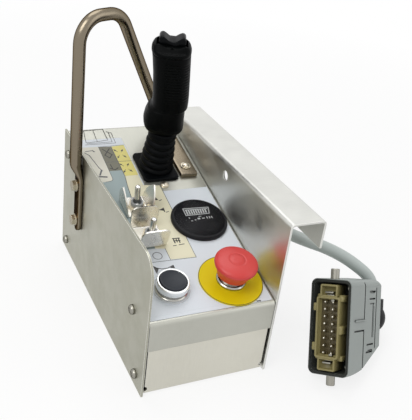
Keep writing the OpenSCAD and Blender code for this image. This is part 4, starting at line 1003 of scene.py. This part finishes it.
PIN_ROWS, PIN_PITCH, PIN_GAP = 8, 6.6, 7.8
FLOOR = 1.9
PIN_LINE = [(1.0, 0), (1.0, 5.9), (0.85, 6.5), (0.5, 6.9), (0.05, 7.0)]
BOSS_LINE = [(2.5, 0), (2.5, 0.7), (2.2, 0.9), (1.9, 0.9), (1.8, 0.5), (0.05, 0.5)]
floor_parts = [block_grid(INSERT_W - 4.0, INSERT_L - 4.0, FLOOR, FLOOR + 4)]
pin_parts = []
for column in (-1, 1):
    for row in range(PIN_ROWS):
        spot = dict(x=column * PIN_GAP / 2, z=(row - (PIN_ROWS - 1) / 2) * PIN_PITCH)
        pin_parts.append(moved(along_plug(PIN_LINE, FLOOR + 1, 14), **spot))
        floor_parts.append(moved(along_plug(BOSS_LINE, FLOOR + 0.1, 16), **spot))
for row in range(PIN_ROWS - 1):
    bridge = block_grid(2.4, 2.2, FLOOR - 1.2, FLOOR + 1)
    floor_parts.append(moved(bridge, z=(row - (PIN_ROWS - 2) / 2) * PIN_PITCH))
plug_floor = skins("insert_floor", floor_parts, PLUG)
finish_piece(plug_floor, SHADED_KHAKI, "box", "khaki_plastic")
pins = skins("contact_pins", pin_parts, PLUG)
finish_piece(pins, PIN_METAL, "box", "plated_pins", "plug_pins")

SCREW_LINE = [(2.9, 0), (2.9, 1.3), (2.5, 1.8), (1.6, 2.0), (1.1, 1.5), (0.05, 1.4)]
SCREW_X, SCREW_Z = 13.4, 36.0
metal_parts = [moved(along_plug(SCREW_LINE, 13.6, 20), x=sx * SCREW_X, z=sz * SCREW_Z)
               for sx in (-1, 1) for sz in (-1, 1)]
for sign in (-1, 1):
    metal_parts.append(moved(block_grid(8.5, 1.6, RIM + 1.8, 2.0), z=sign * (END_Z - 1.4)))
    metal_parts.append(moved(block_grid(7.0, 2.6, RIM + 2.8, 2.0), x=1.0, z=sign * (END_Z - 4.6)))
    metal_parts.append(moved(block_grid(3.4, 2.2, RIM + 2.2, 2.4), x=3.4, z=sign * (END_Z - 8.6)))
clips = skins("insert_clips", metal_parts, PLUG)
finish_piece(clips, PEG_METAL, "box", "zinc_steel", "plug_screws")

# ---------------------------------------------------------------- printed marks

FILM_X = 58.0
INK = {
    "cream": ink("print_cream", (0.76, 0.72, 0.53)), "tab": ink("print_tab", (0.66, 0.64, 0.55)),
    "steel_blue": ink("print_steel_blue", (0.30, 0.37, 0.375)),
    "olive": ink("print_olive", (0.155, 0.150, 0.105)),
    "lemon": ink("print_lemon", (0.72, 0.64, 0.20)),
    "dark": ink("print_dark", (0.028, 0.026, 0.026)), "pale": ink("print_pale", (0.62, 0.64, 0.64)),
    "fine": ink("print_fine", (0.075, 0.080, 0.090)), "film": OVERLAY,
}


def stroke(points, width, closed=False):
    """One quad for each step of a line, half a width to both sides of it."""
    p = np.asarray(points, float)
    q = np.roll(p, -1, axis=0) if closed else p[1:]
    p = p if closed else p[:-1]
    t = (q - p) / np.linalg.norm(q - p, axis=1)[:, None]
    n = np.stack([-t[:, 1], t[:, 0]], -1) * width / 2
    e = t * width / 2
    return list(np.stack([p - n - e, q - n + e, q + n + e, p + n - e], 1))


def strokes(lines):
    """Quads of several lines, each given as its width and its points."""
    return [quad for width, *points in lines for quad in stroke(points, width)]


def ring_points(x, s, r, count=32):
    """Points (x + r cos a, s + r sin a) of a circle."""
    a = np.linspace(0, 2 * np.pi, count, endpoint=False)
    return np.stack([x + r * np.cos(a), s + r * np.sin(a)], -1)


def print_marks(name, outlines, tone, low, high):
    """Thin prisms from low to high on outlines, which go counter-clockwise on the panel."""
    grids = [np.stack([np.column_stack([o, np.full(len(o), h)]) for h in (low, high)])
             for o in (np.asarray(q, float) for q in outlines)]
    return finish_piece(skins(name, grids, PANEL, False), INK[tone], "box", "overlay_print")


def film_print(name, outlines, tone, proud):
    """Print that starts inside the film and stands proud of it."""
    return print_marks(name, outlines, tone, FILM - 0.05, FILM + proud)


def wedge(x, s, angle, size):
    """Small arrow head pointing along angle."""
    a = np.radians([angle, angle + 140, angle + 220])
    return np.stack([x + size * np.cos(a), s + size * np.sin(a)], -1)


def block(x, s, w, l):
    """Rectangle w wide and l long about (x, s)."""
    left, right, low, high = x - w / 2, x + w / 2, s - l / 2, s + l / 2
    return [(left, low), (right, low), (right, high), (left, high)]


front = [(-FILM_X, 4.1), (FILM_X, 4.1), (FILM_X, 8.05), (-FILM_X, 8.05)]
print_marks("overlay_front", [front], "film", 0.02, FILM - 0.01)
film_print("print_ground", [
    [(-57.6, 84), (-25.6, 84), (-25.6, 155), (-24.2, 172), (-22.4, 188), (-22.4, 198), (-35.6, 198),
     (-57.6, 198)],
], "steel_blue", 0.02)
tab_bend = eased([(-44, 181.4), (-35.6, 182.5), (-35.6, 196)], 7, 8)[1:-1]
tab = np.concatenate([[(-57.6, 182), (-44, 181.4)], tab_bend, [(-35.6, 237.8), (-57.6, 238.6)]])
film_print("print_tab", [tab], "tab", 0.03)
olive = [(-35.4, 197.6), (-22.2, 197.4), (-22.2, 236.8), (-35.4, 237.6)]
film_print("print_olive", [olive], "olive", 0.04)
lemon = [(-21.6, 188), (-7.6, 188), (-7.6, 238.2), (-21.6, 236.9)]
film_print("print_lemon", [lemon], "lemon", 0.03)
film_print("print_cream", [
    [(-24.0, 172), (-7.6, 172), (-7.6, 188), (-22.4, 188)],
    [(-25.6, 84), (-16.5, 82), (-16.5, 68.2), (8.6, 66.6), (9.2, 168.8), (-5.9, 171.5), (-7.6, 172),
     (-24.0, 172), (-25.6, 155)],
], "cream", 0.03)

fine_lines = strokes([
    (0.5, (9.2, 168.8), (8.6, 66.6), (-37.5, 67.9)), (0.5, (-16.5, 68.2), (-16.5, 83)),
    (0.6, (-22.0, 237), (-22.0, 188), (-24.2, 172), (-25.6, 155)),
    (0.5, (-35.6, 237.7), (-7.6, 238.2)), (0.5, (-35.6, 211.8), (-7.6, 211.2)),
])
fine_lines += stroke(ring_points(-26.8, 74.8, 4.3), 0.55, True) + stroke(tab[1:-1], 0.5)
film_print("print_fine", fine_lines, "fine", 0.06)

sheet_edge = [(-46.5, 246), (-43.5, 267.5), (-22.2, 268.4), (-22.0, 248.4), (-34.1, 246.9)]
drawing = stroke(sheet_edge, 0.55, True)
drawing += strokes([
    (0.45, (-34.1, 246.9), (-33.2, 268.0)),
    (0.5, (-19.8, 263.4), (-17.6, 262.8), (-18.4, 244.8), (-46, 244.4)),
    (0.5, (-16.8, 261.6), (-14.7, 261.0), (-15.2, 242.4), (-48.5, 242.6)),
])
film_print("print_drawing", drawing, "dark", 0.06)

boom = strokes([
    (0.9, (-52.5, 229.5), (-49, 225.0), (-44.5, 204), (-42.5, 199.0)),
    (0.9, (-51.0, 231.5), (-43.3, 232.5)), (1.6, (-43.3, 199.5), (-46.5, 193.0)),
    (2.0, (-50.5, 191.0), (-41.0, 189.0)), (1.4, (-43.5, 232.4), (-42.2, 230.4)),
])
film_print("print_boom", boom, "fine", 0.07)

dark_marks = []
for x, s in ((-15.6, 224.2), (-16.4, 200.6)):
    for dx, ds, angle in ((-4.4, 6.4, 120), (3.6, 5.4, 60), (-4.2, -6.0, 240), (3.6, -5.6, 300)):
        dark_marks.append(wedge(x + dx, s + ds, angle, 2.0))
        dark_marks += stroke([(x + 0.45 * dx, s + 0.45 * ds), (x + 0.75 * dx, s + 0.75 * ds)], 0.5)
for s, lean in ((231, 2.6), (226, -2.6), (221, 2.6)):
    dark_marks += stroke([(-32.6, s + lean), (-28.8, s - lean), (-25.0, s + lean)], 1.1)
dark_marks += strokes([
    (1.2, (-33.4, 202), (-29.0, 198.9), (-25.2, 201.6)), (1.0, (-31.5, 207.6), (-31.0, 200.6)),
])
dark_marks += [wedge(-2.4, 150.6, 90, 3.6), wedge(-1.6, 133.6, 180, 3.4)]
dark_marks += strokes([
    (0.8, (0.6, 146.6), (3.2, 147.6)), (0.8, (1.8, 129.4), (4.4, 130.0)),
    (1.2, (0.4, 130.6), (0.8, 135.4)),
    (1.1, (-5.0, 93.4), (1.6, 93.0)), (1.1, (-5.0, 90.4), (1.2, 90.0)),
    (1.2, (-4.4, 93.4), (-4.6, 87.8)), (1.2, (0.6, 93.2), (0.2, 87.6)),
    (1.0, (-1.9, 93.2), (-2.1, 88.4)),
    (0.8, (-7.4, 84.3), (-4.6, 84.5)), (0.8, (-1.6, 84.6), (3.4, 84.9)),
])
dark_marks.append([(-35.4, 64.2), (-34.8, 53.0), (-31.0, 59.6)])
dark_marks.append([(-20.6, 58.4), (-16.0, 57.0), (-16.2, 61.4)])
dark_marks += strokes([
    (0.8, (-33.5, 61.0), (-28.5, 58.6), (-22.5, 58.6), (-17.0, 60.8)),
    (1.2, (43.2, 5.2), (46.2, 5.0)),
])
film_print("print_dark", dark_marks, "dark", 0.07)
disc_edge = stroke(ring_points(STOP_X, STOP_S, 29.6, 96), 0.5, True)
print_marks("stop_outline", disc_edge, "dark", 1.2, 1.46)

# Display and icons of the meter, printed on its dial
meter_marks = stroke([(17.2, 117.2), (41.8, 116.8), (44.0, 125.4), (17.4, 127.0)], 0.9, True)
for i in range(9):
    x = 19.6 + 2.45 * i
    meter_marks += stroke([(x, 118.9), (x + 0.03 * (i + 6), 123.8 - 0.08 * i)], 1.5)
meter_marks += stroke([(19.0, 124.9), (42.0, 123.6)], 0.9)
ICONS = [
    (19.2, 113.4, 1.0, 1.4), (24.4, 110.0, 1.6, 1.0), (28.4, 111.2, 2.6, 2.0),
    (33.2, 111.0, 2.8, 1.0), (37.2, 111.4, 1.0, 2.8), (39.8, 111.3, 1.0, 2.8),
    (42.2, 111.2, 1.0, 2.8), (20.4, 109.2, 1.8, 0.8), (30.6, 114.0, 3.0, 0.7),
]
meter_marks += [block(*icon) for icon in ICONS]
print_marks("meter_marks", meter_marks, "pale", DIAL_TOP - 0.2, DIAL_TOP + 0.1)

tuple(cord_path[0] * MM)
[tuple(p * MM) for p in cord_path]

# ---------------------------------------------------------------- stage

# Share of plain white in the floor near the object; it grows to 1 between the two distances
FLOOR_WHITE, FLOOR_NEAR, FLOOR_FAR = 0.80, 0.35, 1.3
FLOOR_HALF = 9
SKY_STRENGTH = 0.45
WHITE = (1.0, 1.0, 1.0, 1.0)
SEEN_RAYS = ("Is Camera Ray", "Is Glossy Ray", "Is Transmission Ray")
# Place and target in metres, size in metres and power in watts of each lamp
LAMPS = {
    "key": ((-0.9, -0.5, 1.4), (0, 0, 0.05), 1.0, 11.5),
    "fill": ((1.3, -0.9, 0.9), (0, 0, 0.08), 1.2, 4.3),
    "top": ((0.1, 0.5, 1.6), (0, 0, 0.1), 1.0, 7.2),
}


def seen_directly(tree):
    """1 for rays of the camera, of gloss and of glass, which see the white, and 0 for others."""
    path = add_node(tree, "ShaderNodeLightPath")
    camera, gloss, through = (Value(tree, path.outputs[kind]) for kind in SEEN_RAYS)
    return (camera + gloss + through).math("MINIMUM", 1.0)


def mixed_shader(tree, share, first, second):
    """Shader of the node first where share is 0, and of second where it is 1."""
    node = add_node(tree, "ShaderNodeMixShader")
    for socket, value in zip(node.inputs, (share, first.outputs[0], second.outputs[0])):
        give(socket, value)
    return node.outputs[0]


def make_floor():
    """White paper that keeps the shadow: mixed with white where seen, more so further away."""
    e = FLOOR_HALF
    obj = add_mesh("floor", [(-e, -e, 0), (e, -e, 0), (e, e, 0), (-e, e, 0)], [(0, 1, 2, 3)], False)
    m = Material("floor_paper")
    m.set(Base_Color=(0.90, 0.90, 0.895, 1), Roughness=0.9)
    m.bump(m.noise((200, 200, 200), 3), 0.00005, 0.2)
    away = m.node("ShaderNodeVectorMath", {"operation": "LENGTH"}, Vector=m.position())
    share = Value(m.tree, away.outputs["Value"]).between(FLOOR_NEAR, FLOOR_FAR, FLOOR_WHITE, 1.0)
    white = m.node("ShaderNodeEmission")
    mixed = mixed_shader(m.tree, seen_directly(m.tree) * share, m.shader, white)
    give(m.out.inputs["Surface"], mixed)
    paint(obj, m.mat)


def area_light(name, place, target, size, power):
    """Square lamp facing its target."""
    data = bpy.data.lights.new(name, "AREA")
    data.energy, data.size = power, size
    obj = bpy.data.objects.new(name, data)
    obj.location = place
    obj.rotation_euler = (Vector(target) - Vector(place)).to_track_quat("-Z", "Y").to_euler()
    bpy.context.collection.objects.link(obj)


def make_lights():
    """Even sky, shown white where it is seen directly, and the lamps."""
    world = bpy.data.worlds.new("studio")
    bpy.context.scene.world = world
    world.use_nodes = True
    tree = world.node_tree
    tree.nodes.clear()
    sky = add_node(tree, "ShaderNodeBackground", Color=WHITE, Strength=SKY_STRENGTH)
    shown = add_node(tree, "ShaderNodeBackground", Color=WHITE)
    mixed = mixed_shader(tree, seen_directly(tree), sky, shown)
    add_node(tree, "ShaderNodeOutputWorld", Surface=mixed)
    for name, lamp in LAMPS.items():
        area_light(name, *lamp)


make_floor()
make_lights()
bpy.context.scene.view_settings.view_transform = "Standard"
